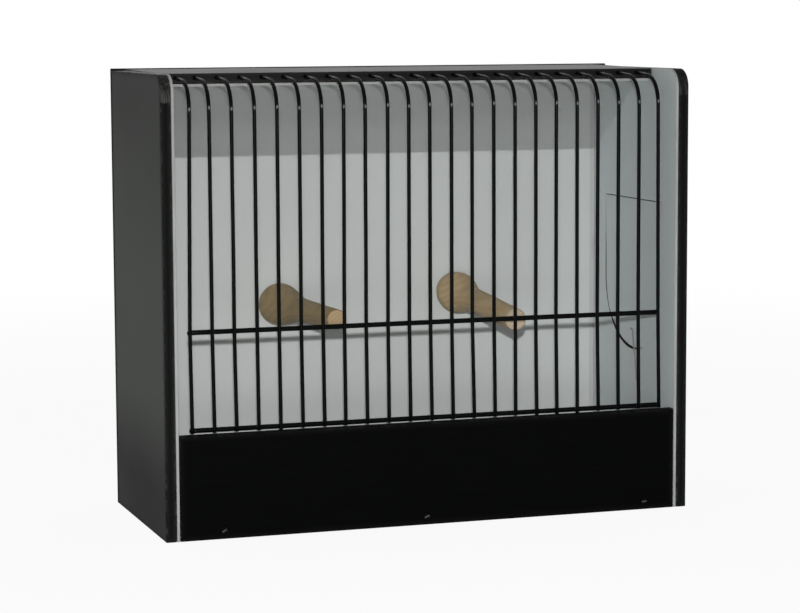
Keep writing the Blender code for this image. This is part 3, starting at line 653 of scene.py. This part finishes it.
@dataclass(frozen=True)
class HandledMetal(Finish):
    """Plain metal hardware: a worn film over metal, with fine drawn lines."""

    bright: Colour
    dull: Colour
    roughness: float
    film_depth: float = 0.05 * MM

    def spread(self, g: Graph) -> None:
        """Lays the worn film on the metal.

        Args:
            g: The metal's graph.
        """
        film = g.cloud(150.0, 6.0)
        lines = g.cloud(1800.0, 2.0, (1.0, 0.05, 1.0))
        tarnish = (film.ramp(0.30, 0.80) + lines.ramp(0.45, 0.75) * 0.35).least(1.0)
        g.set(
            Base_Color=g.blend(tarnish, self.bright, self.dull),
            Roughness=film.ramp(0.3, 0.8, self.roughness - 0.08, self.roughness + 0.20),
            Metallic=tarnish.ramp(0.0, 1.0, 1.0, 0.8),
        )
        g.relief(lines * 0.6 + film * 0.4, self.film_depth)


def link_mesh(name: str, shape: bmesh.types.BMesh, material: bpy.types.Material) -> bpy.types.Object:
    """Links a shape to the scene.

    Args:
        name: The new object's name.
        shape: Its mesh, which is used up.
        material: Its finish.

    Returns:
        The object.
    """
    mesh = bpy.data.meshes.new(name)
    shape.to_mesh(mesh)
    shape.free()
    mesh.materials.append(material)
    obj = bpy.data.objects.new(name, mesh)
    bpy.context.scene.collection.objects.link(obj)
    return obj


def new_piece(
    name: str, shape: bmesh.types.BMesh, material: bpy.types.Material, body: Body, smooth: bool = True
) -> bpy.types.Object:
    """Links a shape to the scene as a piece that rides on a body.

    Args:
        name: The piece's name.
        shape: Its mesh, which is used up.
        material: Its finish.
        body: The body that it moves with.
        smooth: Whether its faces are shaded smooth.

    Returns:
        The piece.
    """
    bmesh.ops.recalc_face_normals(shape, faces=shape.faces)
    piece = link_mesh(name, shape, material)
    for face in piece.data.polygons:
        face.use_smooth = smooth
    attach(piece, body.value)
    return piece


def circle(shape: bmesh.types.BMesh, centre: Vector, side: Vector, up: Vector, radius: float, sides: int) -> list:
    """Adds the points of a circle to a shape, from side round by way of up, and returns them."""
    angles = (2 * math.pi * k / sides for k in range(sides))
    return [shape.verts.new(centre + (side * math.cos(a) + up * math.sin(a)) * radius) for a in angles]


def skin(shape: bmesh.types.BMesh, loops: Sequence[Sequence[bmesh.types.BMVert]]) -> None:
    """Joins loops of equal length with faces, and closes both ends.

    Args:
        shape: The mesh that they are in.
        loops: The loops, in order.
    """
    for near, far in zip(loops, loops[1:]):
        for k in range(len(near)):
            after = (k + 1) % len(near)
            shape.faces.new((near[k], near[after], far[after], far[k]))
    shape.faces.new(loops[0])
    shape.faces.new(loops[-1])


def tube(path: Sequence[Vector], radius: float, sides: int = 16) -> bmesh.types.BMesh:
    """Makes a round wire with softened ends.

    Args:
        path: Points along its middle.
        radius: The wire's radius.
        sides: Faces round it.

    Returns:
        Its mesh.
    """
    padded = [path[0], *path, path[-1]]
    tangents = [(after - before).normalized() for before, after in zip(padded, padded[2:])]
    first, last = tangents[0], tangents[-1]
    stations = [(path[0], first, radius * BLUNT_RADIUS), (path[0] + first * radius * BLUNT_LENGTH, first, radius)]
    stations += [(point, tangent, radius) for point, tangent in zip(path[1:-1], tangents[1:-1])]
    stations += [(path[-1] - last * radius * BLUNT_LENGTH, last, radius), (path[-1], last, radius * BLUNT_RADIUS)]
    shape = bmesh.new()
    side = first.orthogonal().normalized()
    loops = []
    for point, tangent, size in stations:
        side = (side - tangent * side.dot(tangent)).normalized()
        loops.append(circle(shape, point, side, tangent.cross(side), size, sides))
    skin(shape, loops)
    return shape


def rounded(before: Vector, corner: Vector, after: Vector, radius: float, steps: int) -> list:
    """Rounds a corner with an arc.

    Args:
        before: A point on the way in.
        corner: The corner.
        after: A point on the way out.
        radius: The arc's radius.
        steps: Its number of chords.

    Returns:
        The arc's points.
    """
    into = (before - corner).normalized()
    out = (after - corner).normalized()
    half = into.angle(out) / 2
    centre = corner + (into + out).normalized() * (radius / math.sin(half))
    start, end = ((corner + way * (radius / math.tan(half)) - centre).normalized() for way in (into, out))
    return [centre + start.slerp(end, i / steps) * radius for i in range(steps + 1)]


def smooth_by_angle(obj: bpy.types.Object, degrees: float) -> None:
    """Shades an object smooth, but for its edges sharper than an angle, with a modifier.

    Args:
        obj: The object.
        degrees: The angle.
    """
    name = f"smooth under {degrees:g}"
    group = bpy.data.node_groups.get(name)
    if group is None:
        group = bpy.data.node_groups.new(name, "GeometryNodeTree")
        for way in ("INPUT", "OUTPUT"):
            group.interface.new_socket("Geometry", in_out=way, socket_type="NodeSocketGeometry")
        g = Graph(group)
        start = g.node("NodeGroupInput").outputs[0]
        weld = g.node("GeometryNodeMergeByDistance", None, {"Geometry": start, "Distance": WELD_DISTANCE})
        faces = g.node("GeometryNodeSetShadeSmooth", None, {"Geometry": weld.outputs["Geometry"]})
        angle = g.node("GeometryNodeInputMeshEdgeAngle").outputs["Unsigned Angle"]
        soft = g.node("FunctionNodeCompare", {"operation": "LESS_THAN"}, {0: angle, 1: math.radians(degrees)})
        shading = {"Geometry": faces.outputs["Geometry"], "Shade Smooth": soft.outputs[0]}
        edges = g.node("GeometryNodeSetShadeSmooth", {"domain": "EDGE"}, shading)
        g.node("NodeGroupOutput", None, {0: edges.outputs["Geometry"]})
    modifier = obj.modifiers.new(name, "NODES")
    modifier.node_group = group


def dress(node: str, material: bpy.types.Material, smooth_degrees: float = BOARD_SMOOTH_ANGLE) -> None:
    """Gives a CAD node its finish.

    Args:
        node: The node's name.
        material: Its finish.
        smooth_degrees: The angle under which its edges are shaded smooth.
    """
    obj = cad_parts[node]
    for slot in obj.material_slots:
        slot.material = material
    smooth_by_angle(obj, smooth_degrees)


def coat(node: str, paint: Finish, name: str = "black_paint", smooth_degrees: float = BOARD_SMOOTH_ANGLE) -> None:
    """Gives a CAD node a paint that is fitted to its box, and smooths it as dress does."""
    dress(node, paint.material(f"{name}_{node}", Box.of(node)), smooth_degrees)


@dataclass
class Case:
    """The black boards of the case, the white linings inside it, and the screws along its front."""

    screw_turns: Tuple[float, ...] = (28.0, 22.0, 8.0)
    back_corner_x: float = 165.6 * MM

    def build(self) -> None:
        """Paints every board, lining and front screw of the case."""
        boards = {
            "side_panel_left": BlackPaint(scrape_and_sheen=0.95, gloss=0.011, sheen_paint=SHEEN_GREY, top_sheen=TOP_SHEEN),
            "side_panel_right": BlackPaint(scrape_and_sheen=0.35, gloss=0.009, sheen_paint=SHEEN_GREY),
            "back_panel": BlackPaint(gloss=0.004, sheen_paint=SHEEN_GREY_BACK),
            "roof_panel": BlackPaint(roughness=0.40, gloss=0.09, grain=Grain.ALONG_X),
            "floor_panel": BlackPaint(roughness=0.40, gloss=0.02, grain=Grain.ALONG_X),
            "front_board": BlackPaint((0.0016, 0.0017, 0.0017), gloss=0.01, grain=Grain.ALONG_X, wear=0.25),
        }
        linings = {
            "side_lining_left": WhiteLining(rimmed=True),
            # The right end's lining takes the painted cool light, darkened towards the front as painted shade.
            "side_lining_right": WhiteLining(*LIT_COOL_WHITE, rimmed=True, doorway=Doorway(), dimmed=COOL_WHITE_SHADED),
            # The back lining's painted shade strip runs along its corners.
            "back_lining": WhiteLining(corner_x=self.back_corner_x, corner_shade=0.38),
            "roof_lining": WhiteLining(grain=Grain.ALONG_X, rimmed=True),
            "floor_lining": WhiteLining(grain=Grain.ALONG_X),
        }
        for node, paint in boards.items():
            coat(node, paint)
        for node, paint in linings.items():
            coat(node, paint, "white_paint")
        for number, turn in enumerate(self.screw_turns, 1):
            coat(f"front_board_screw_{number}", PaintedScrew(turn))
        LOG.info("case: %d boards, %d linings, %d screws", len(boards), len(linings), len(self.screw_turns))


@dataclass
class WireFront:
    """The bent wires of the front and the two bars behind them, each drawn round in place of its plain solid."""

    count: int = 23
    wire_radius: float = 1.2 * MM
    bar_radius: float = 1.6 * MM
    bend_radius: float = 18.0 * MM
    bend_steps: int = 14
    rise: float = 3.0 * MM
    sway: float = 0.12 * MM
    sway_pitch: float = 14.0
    sway_seed: float = 3.7
    sway_free: float = 50.0 * MM
    foot_slice: float = 0.1 * MM
    bar_slice: float = 1.0 * MM
    top_slice: float = 0.5 * MM
    runs_up: int = 6
    bars: Tuple[str, str] = ("mid_bar", "bottom_bar")
    bar_steps: int = 48
    bar_pitch: float = 9.0
    bar_seed: float = 50.0
    bead: Point = (1.45, 0.55, 1.35)
    bead_swell: float = 0.25
    bead_seeds: Span = (1.9, 31.0)

    def build(self) -> None:
        """Makes the wires, the bars and the solder at their crossings."""
        enamel = WireEnamel().material("black_enamel")
        wires = {f"wire_{number:02d}": number for number in range(1, self.count + 1)}
        shapes = {node: self._wire(node, number) for node, number in wires.items()}
        shapes.update((node, self._bar(node)) for node in self.bars)
        for node, shape in shapes.items():
            piece = new_piece(f"{node}_drawn", shape, enamel, Body.CASE)
            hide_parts(node)
        beads = new_piece("solder_beads", self._beads(wires), enamel, Body.CASE)
        LOG.info("wire front: %d wires, %d bars", len(wires), len(self.bars))

    def _wire(self, node: str, number: int) -> bmesh.types.BMesh:
        """Makes one wire, with the slight sway of hand straightening.

        Args:
            node: The CAD wire that it stands for.
            number: Its place from the left.

        Returns:
            Its mesh.
        """
        box = Box.of(node)
        front_y = box.low[1] + self.wire_radius
        foot_x, middle_x, top_x, middle_z, end_z = self._line(node)
        foot = Vector((foot_x, front_y, box.low[2]))
        middle = Vector((middle_x, front_y, middle_z))
        corner = Vector((top_x, front_y, end_z - self.rise))
        end = Vector((top_x, box.high[1], end_z))
        arc = rounded(middle, corner, end, self.bend_radius, self.bend_steps)
        path = [foot.lerp(middle, i / self.runs_up) for i in range(self.runs_up)]
        path += [middle.lerp(arc[0], i / self.runs_up) for i in range(self.runs_up)] + arc + [end]
        held = (box.low[2], middle_z, arc[0].z)
        swayed = []
        for point in path:
            free = min(1.0, min(abs(point.z - z) for z in held) / self.sway_free)
            shift = noise.noise((number * self.sway_seed, point.z * self.sway_pitch, 0.0)) * self.sway * free
            swayed.append(point + Vector((shift, 0, 0)) if point.y < front_y + TINY else point)
        return tube(swayed, self.wire_radius)

    def _line(self, node: str) -> Tuple[float, float, float, float, float]:
        """Finds where a CAD wire runs.

        Args:
            node: The CAD wire.

        Returns:
            Its x at the foot, at the mid bar and at the top, then the mid bar's z and the top end's z.
        """
        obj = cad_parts[node]
        points = [obj.matrix_world @ vertex.co for vertex in obj.data.vertices]
        box, middle_z = Box.of(node), Box.of("mid_bar").middle(2)
        at_foot = [point for point in points if point.z < box.low[2] + self.foot_slice]
        at_bar = [point for point in points if abs(point.z - middle_z) < self.bar_slice]
        at_top = [point for point in points if point.y > box.high[1] - self.top_slice]

        def mean(axis: int, chosen: Iterable[Vector]) -> float:
            """Returns the middle of the chosen points on an axis."""
            values = [point[axis] for point in chosen]
            return (min(values) + max(values)) / 2

        return mean(0, at_foot), mean(0, at_bar), mean(0, at_top), middle_z, mean(2, at_top)

    def _bar(self, node: str) -> bmesh.types.BMesh:
        """Makes one bar.

        Args:
            node: The CAD bar that it stands for.

        Returns:
            Its mesh.
        """
        box = Box.of(node)
        y, z = box.middle(1), box.middle(2)
        path = []
        for i in range(self.bar_steps + 1):
            x = box.low[0] + (box.high[0] - box.low[0]) * i / self.bar_steps
            path.append(Vector((x, y, z + noise.noise((x * self.bar_pitch, z * self.bar_seed, 3.0)) * self.sway)))
        return tube(path, self.bar_radius)

    def _beads(self, wires: Mapping[str, int]) -> bmesh.types.BMesh:
        """Makes the small beads of solder that join each wire to both bars.

        Args:
            wires: The CAD wires, with their places from the left.

        Returns:
            Their mesh.
        """
        shape = bmesh.new()
        (wide, deep, tall), (seed_x, seed_z) = self.bead, self.bead_seeds
        for bar in self.bars:
            bar_box = Box.of(bar)
            z = bar_box.middle(2)
            for node, number in wires.items():
                x = self._line(node)[1 if bar == "mid_bar" else 0]
                y = (Box.of(node).low[1] + 2 * self.wire_radius + bar_box.low[1]) / 2
                swell = 1.0 + self.bead_swell * noise.noise((number * seed_x, z * seed_z, 0.5))
                place = Matrix.Translation((x, y, z)) @ Matrix.Diagonal((wide * swell, deep, tall, 1.0))
                bmesh.ops.create_icosphere(shape, subdivisions=2, radius=self.wire_radius, matrix=place)
        return shape


@dataclass
class Perch:
    """A turned perch on the back wall, drawn with a finer profile in place of its plain solid."""

    node: str
    turning: Tuple[Span, ...]
    lean: Span
    wood: TurnedWood
    segments: int = 64
    per_span: int = 5

    def _profile(self) -> list:
        """Smooths the turning.

        Returns:
            Its (distance, radius) pairs, in metres.
        """
        points = [Vector((d * MM, r * MM)) for d, r in self.turning]
        smooth = [points[0]]
        padded = [points[0], *points, points[-1]]
        for a, b, c, d in zip(padded, padded[1:], padded[2:], padded[3:]):
            for k in range(1, self.per_span + 1):
                t = k / self.per_span
                smooth.append(0.5 * ((2 * b) + (c - a) * t + (2 * a - 5 * b + 4 * c - d) * t * t
                                     + (3 * b - a - 3 * c + d) * t * t * t))
        return smooth

    def build(self) -> None:
        """Makes the perch, from the screw that holds its root out to its free end."""
        box = Box.of(self.node)
        screw = Box.of(self.node.replace("perch", "perch_screw"))
        length = box.high[1] - box.low[1]
        root = Vector((screw.middle(0), box.high[1], screw.middle(2)))
        profile = self._profile()
        scale = length / profile[-1].x
        across, up = Vector((1.0, 0.0, 0.0)), Vector((0.0, 0.0, 1.0))
        shape = bmesh.new()
        loops = []
        for distance, radius in profile:
            along = distance * scale
            share = along / length
            centre = root + Vector((self.lean[0] * MM * share, -along, self.lean[1] * MM * share))
            loops.append(circle(shape, centre, across, up, radius, self.segments))
        skin(shape, loops)
        end = (root.x + self.lean[0] * MM, box.low[1], root.z + self.lean[1] * MM)
        wood = self.wood.material(f"wood_{self.node}", end)
        piece = new_piece(f"{self.node}_turned", shape, wood, Body.CASE)
        smooth_by_angle(piece, PERCH_SMOOTH_ANGLE)
        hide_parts(self.node)
        LOG.info("%s: %.1f mm long", self.node, length / MM)


@dataclass
class EndDoor:
    """The door in the right end, with its hinge, knob, turn button and stop wire."""

    brass_nodes: Tuple[str, ...] = (
        "hinge_leaf_frame", "hinge_leaf_door", "hinge_screw_frame_front", "hinge_screw_frame_rear",
        "hinge_screw_door_front", "hinge_screw_door_rear", "turn_button")
    steel_nodes: Tuple[str, ...] = ("hinge_pin", "turn_button_screw", "perch_screw_left", "perch_screw_right")
    doorway: Doorway = Doorway()
    rear_gaps: Tuple[Span, ...] = ((202.0, 0.4), (178.0, 0.5), (169.0, 1.2), (160.0, 1.4))
    top_gap: float = 0.7 * MM
    top_closes_y: float = -42.0 * MM
    foot_gaps: Tuple[Span, ...] = (
        (0, 1.5), (14, 1.4), (29, 0.9), (45, 2.3), (55, 2.5), (80, 2.3), (94, 1.6), (112, 0.12), (180, 0.06))
    arc_steps: int = 90
    chamfer: float = 0.25 * MM
    closed_chamfer: float = 0.02 * MM
    closed_front: float = 12.0 * MM

    def _foot_gap(self, degrees: float) -> float:
        """Looks up the gap round the door's half round foot.

        Args:
            degrees: How far round it is, from the rear.

        Returns:
            The gap, in metres.
        """
        for (low, near), (high, far) in zip(self.foot_gaps, self.foot_gaps[1:]):
            if degrees <= high:
                return (near + (far - near) * (degrees - low) / (high - low)) * MM
        return self.foot_gaps[-1][1] * MM

    def _lining(self) -> None:
        """Draws the door's lining, cut by hand: its gap is wide at the lower rear and closes round to the front."""
        way = self.doorway
        box = Box.of("door_lining")
        top = way.top_z - self.top_gap
        outline = [
            (way.centre_y - way.radius + self._foot_gap(180.0), way.top_z - self._foot_gap(180.0)),
            (self.top_closes_y, top),
            (way.centre_y + way.radius - self.rear_gaps[0][1] * MM, top),
        ]
        outline += [(way.centre_y + way.radius - gap * MM, z * MM) for z, gap in self.rear_gaps]
        for i in range(self.arc_steps + 1):
            degrees = 180.0 * i / self.arc_steps
            angle, reach = math.radians(degrees), way.radius - self._foot_gap(degrees)
            outline.append((way.centre_y + reach * math.cos(angle), way.foot_z + way.radius - reach * math.sin(angle)))
        middle_y, middle_z = way.centre_y, (way.foot_z + top) / 2
        shape = bmesh.new()
        loops = []
        for x, inset in ((box.low[0], self.chamfer), (box.low[0] + self.chamfer, 0.0), (box.high[0], 0.0)):
            loop = []
            for y, z in outline:
                in_corner = y < self.top_closes_y - 1.0 * MM
                closed = in_corner or (y < middle_y - self.closed_front and z < middle_z)
                step = self.closed_chamfer if closed and inset else inset
                inward = Vector((middle_y - y, middle_z - z)).normalized() * step
                loop.append(shape.verts.new((x, y + inward.x, z + inward.y)))
            loops.append(loop)
        skin(shape, loops)
        paint = WhiteLining(*LIT_COOL_WHITE, dimmed=COOL_WHITE_SHADED).material("white_paint_door_lining", box)
        piece = new_piece("door_lining_drawn", shape, paint, Body.DOOR, False)
        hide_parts("door_lining")

    def build(self) -> None:
        """Dresses the door and its hardware, and draws its lining."""
        coat("door_panel", BlackPaint(gloss=0.011, sheen_paint=SHEEN_GREY))
        self._lining()
        brass = HandledMetal((0.50, 0.350, 0.150), (0.330, 0.225, 0.095), 0.38).material("worn_brass")
        steel = HandledMetal((0.36, 0.36, 0.35), (0.20, 0.195, 0.185), 0.38).material("plain_steel")
        for nodes, metal in ((self.brass_nodes, brass), (self.steel_nodes, steel)):
            for node in nodes:
                dress(node, metal)
        coat("door_knob", BlackPaint(roughness=0.22, gloss=0.30), smooth_degrees=ROUND_SMOOTH_ANGLE)
        bare_wire = WireEnamel((0.19, 0.19, 0.185), (0.30, 0.30, 0.29), 0.35).material("rubbed_wire")
        dress("door_stop_wire", bare_wire, ROUND_SMOOTH_ANGLE)
        LOG.info("end door: %d brass pieces, %d of steel", len(self.brass_nodes), len(self.steel_nodes))


@dataclass(frozen=True)
class Lamp:
    """A lamp of the studio."""

    name: str
    place: Point
    target: Point
    watts: float
    size: Span
    passes: Tuple[str, ...] = ()

    def build(self) -> None:
        """Makes the lamp, a rectangle that faces its target. The nodes that it passes cast no shadow from it."""
        data = bpy.data.lights.new(self.name, "AREA")
        data.shape = "RECTANGLE"
        data.size, data.size_y = self.size
        data.energy = self.watts
        lamp = bpy.data.objects.new(self.name, data)
        lamp.location = self.place
        lamp.rotation_euler = (Vector(self.target) - Vector(self.place)).to_track_quat("-Z", "Y").to_euler()
        bpy.context.scene.collection.objects.link(lamp)
        if self.passes:
            clear = bpy.data.collections.new("no_lamp_shadow")
            for node in self.passes:
                clear.objects.link(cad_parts[node])
            for entry in clear.collection_objects:
                entry.light_linking.link_state = "EXCLUDE"
            lamp.light_linking.blocker_collection = clear


@dataclass
class Studio:
    """The camera, the lamps, the gauzes that shade them, the pale floor and the white surround."""

    camera_place: Point = (-0.53183, -1.59160, 0.32440)
    camera_turns: Tuple[float, float, float] = (-0.3230, -0.1129, 0.0047)
    focal_pixels: float = 2528.43
    frame_width: int = 800
    sensor: float = 36.0
    camera_far: float = 50.0
    lamp: Lamp = Lamp(
        "lamp", (-0.532, -1.600, 0.410), (0.0, 0.0, 0.13), 21.8, (0.022, 0.022), ("roof_panel", "roof_lining"))
    fill: Lamp = Lamp("fill", (-0.45, -1.45, 0.02), (0.0, 0.0, 0.10), 5.0, (0.55, 0.30))
    flag_y: float = -0.030
    flag_shade_z: float = 0.233
    flag_front_y: float = -0.012
    flag_top_z: float = 0.306
    flag_density: float = 0.70
    flag_end_density: float = 0.36
    flag_end_blend: float = 0.6 * MM
    screen_y: float = -0.50
    screen_sides: Span = (-0.9, 0.5)
    screen_ends: Span = (0.02, 0.39)
    screen_span: Span = (0.190, 0.300)
    screen_density: float = 0.22
    screen_left_x: float = -0.08
    screen_left_reach: float = 0.25
    screen_left_rate: float = 0.30
    rear_light: float = 0.50
    front_light: float = 0.05
    left_light: float = 0.10
    right_light: float = 0.25
    top_light: float = 0.12
    floor_tone: Colour = (0.80, 0.80, 0.80)
    floor_glow: float = 0.92
    floor_fade: Span = (0.45, 1.6)
    floor_half: float = 6.0
    floor_drop: float = 0.3 * MM

    def build(self) -> None:
        """Makes everything round the cage."""
        self._camera()
        self.lamp.build()
        self.fill.build()
        self._flag()
        self._screen()
        self._floor()
        self._surround()
        bpy.context.scene.view_settings.view_transform = "Standard"
        LOG.info("studio: camera, lamps, gauzes, floor and surround")

    def _camera(self) -> None:
        """Places the camera where the photograph was taken from."""
        yaw, pitch, roll = self.camera_turns
        data = bpy.data.cameras.new("camera")
        data.sensor_width = self.sensor
        data.sensor_fit = "HORIZONTAL"
        data.lens = self.focal_pixels * self.sensor / self.frame_width
        data.clip_end = self.camera_far
        camera = bpy.data.objects.new("camera", data)
        turn = Matrix.Rotation(yaw, 4, "Z") @ Matrix.Rotation(pitch, 4, "X") @ Matrix.Rotation(roll, 4, "Y")
        camera.matrix_world = Matrix.Translation(self.camera_place) @ turn @ Matrix.Rotation(math.pi / 2, 4, "X")
        bpy.context.scene.collection.objects.link(camera)
        bpy.context.scene.camera = camera

    def _floor(self) -> None:
        """Makes the pale floor, which keeps the cage's shadow and fades into the surround."""
        g = Graph.of_material("pale_floor")
        x, y, _ = g.axes()
        away = (x * x + y * y).root().ramp(*self.floor_fade, self.floor_glow, 1.0)
        mottle = g.cloud(3.0, 2.0)
        g.set(
            Base_Color=g.blend(mottle.ramp(0.3, 0.7), self.floor_tone, tuple(c * 1.03 for c in self.floor_tone)),
            Roughness=0.9,
            Specular_IOR_Level=0.0,
        )
        glow = g.node("ShaderNodeEmission", None, {"Color": (1.0, 1.0, 1.0), "Strength": 1.0})
        shaders = {0: g.seen() * away, 1: g.surface.outputs[0], 2: glow.outputs[0]}
        output = next(node for node in g.tree.nodes if node.type == "OUTPUT_MATERIAL")
        g.put(output.inputs["Surface"], g.node("ShaderNodeMixShader", None, shaders).outputs[0])
        shape = bmesh.new()
        bmesh.ops.create_grid(shape, x_segments=1, y_segments=1, size=self.floor_half)
        floor = link_mesh("floor", shape, g.material)
        floor.location.z = -self.floor_drop

    def _flag(self) -> None:
        """Hangs a grey gauze in the lamp's light, unseen itself, that shades the top of the back and right walls."""
        (left, back, _), (right, _, top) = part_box("back_lining")
        corner = self._on_flag(Vector((right, back, self.flag_shade_z)))
        front = self._on_flag(Vector((right, self.flag_front_y, top)))
        g = Graph.of_material("gauze")
        x, _, _ = g.axes()
        density = x.ramp(corner.x, corner.x + self.flag_end_blend, self.flag_density, self.flag_end_density)
        tops = [Vector((end_x, self.flag_y, self.flag_top_z)) for end_x in (front.x, left)]
        self._hang("flag", g, density, [Vector((left, self.flag_y, corner.z)), corner, front] + tops)

    def _screen(self) -> None:
        """Hangs a graded gauze before the cage, unseen itself, so that the lamp lights the walls evenly."""
        low, high = self.screen_span
        (left, right), (foot, top) = self.screen_sides, self.screen_ends
        g = Graph.of_material("graded_gauze")
        x, _, z = g.axes()
        leftward = (self.screen_left_x - x).most(0.0).least(self.screen_left_reach) * self.screen_left_rate
        upward = (z - low).most(0.0) * (self.screen_density / (high - low))
        corners = ((left, foot), (right, foot), (right, top), (left, top))
        self._hang("screen", g, upward + leftward, [Vector((at_x, self.screen_y, at_z)) for at_x, at_z in corners])

    def _hang(self, name: str, g: Graph, density: Channel, corners: Sequence[Vector]) -> None:
        """Hangs a gauze that casts only a shadow.

        Args:
            name: Its name.
            g: Its material's graph.
            density: The share of the light that it holds back.
            corners: Its corners, in order.
        """
        g.set(Base_Color=(0.0, 0.0, 0.0), Specular_IOR_Level=0.0, Roughness=1.0, Alpha=density)
        shape = bmesh.new()
        shape.faces.new([shape.verts.new(corner) for corner in corners])
        gauze = link_mesh(name, shape, g.material)
        for rays in ("camera", "diffuse", "glossy", "transmission", "volume_scatter"):
            setattr(gauze, f"visible_{rays}", False)

    def _on_flag(self, point: Vector) -> Vector:
        """Returns where the lamp's ray to a point crosses the flag's plane."""
        lamp = Vector(self.lamp.place)
        return lamp.lerp(point, (self.flag_y - lamp.y) / (point.y - lamp.y))

    def _surround(self) -> None:
        """Makes the surround, white where it is seen and a soft graded light everywhere else."""
        world = bpy.data.worlds.new("surround")
        bpy.context.scene.world = world
        world.use_nodes = True
        g = Graph(world.node_tree, world.node_tree.nodes["Background"])
        x, y, z = g.split("Generated")
        light = (
            y.ramp(-0.1, 0.7) * self.rear_light
            + y.ramp(0.1, -0.7) * self.front_light
            + x.ramp(-0.1, -0.7) * self.left_light
            + x.ramp(0.1, 0.7) * self.right_light
            + z.ramp(0.1, 0.7) * self.top_light
        )
        g.set(Color=(1.0, 1.0, 1.0), Strength=light + g.seen() * (1.0 - light))


def main() -> None:
    """Builds the dressed cage and its studio, piece by piece."""
    logging.basicConfig(level=logging.INFO, format="%(name)s: %(message)s")
    Studio().build()
    Case().build()
    WireFront().build()
    Perch(
        "perch_left",
        ((0, 12.6), (1, 13.2), (5, 14.4), (11, 13.9), (18, 12.7), (26, 11.3), (35, 9.7), (45, 8.3), (60, 7.7),
         (75, 7.4), (95, 6.9), (117, 6.6), (118, 5.8)),
        (6.2, 1.9),
        TurnedWood((0.325, 0.240, 0.122), (0.250, 0.178, 0.086), (0.165, 0.128, 0.075)),
    ).build()
    Perch(
        "perch_right",
        ((0, 11.6), (1, 12.2), (5, 13.4), (11, 14.1), (18, 13.0), (25, 11.0), (32, 9.2), (45, 8.2), (60, 8.1),
         (75, 8.0), (95, 7.6), (117, 7.3), (118, 6.6)),
        (1.6, -7.7),
        TurnedWood((0.455, 0.340, 0.192), (0.365, 0.255, 0.130), (0.262, 0.204, 0.125), (0.385, 0.318, 0.225),
                   (0.290, 0.230, 0.150)),
    ).build()
    EndDoor().build()


if __name__ == "__main__":
    main()
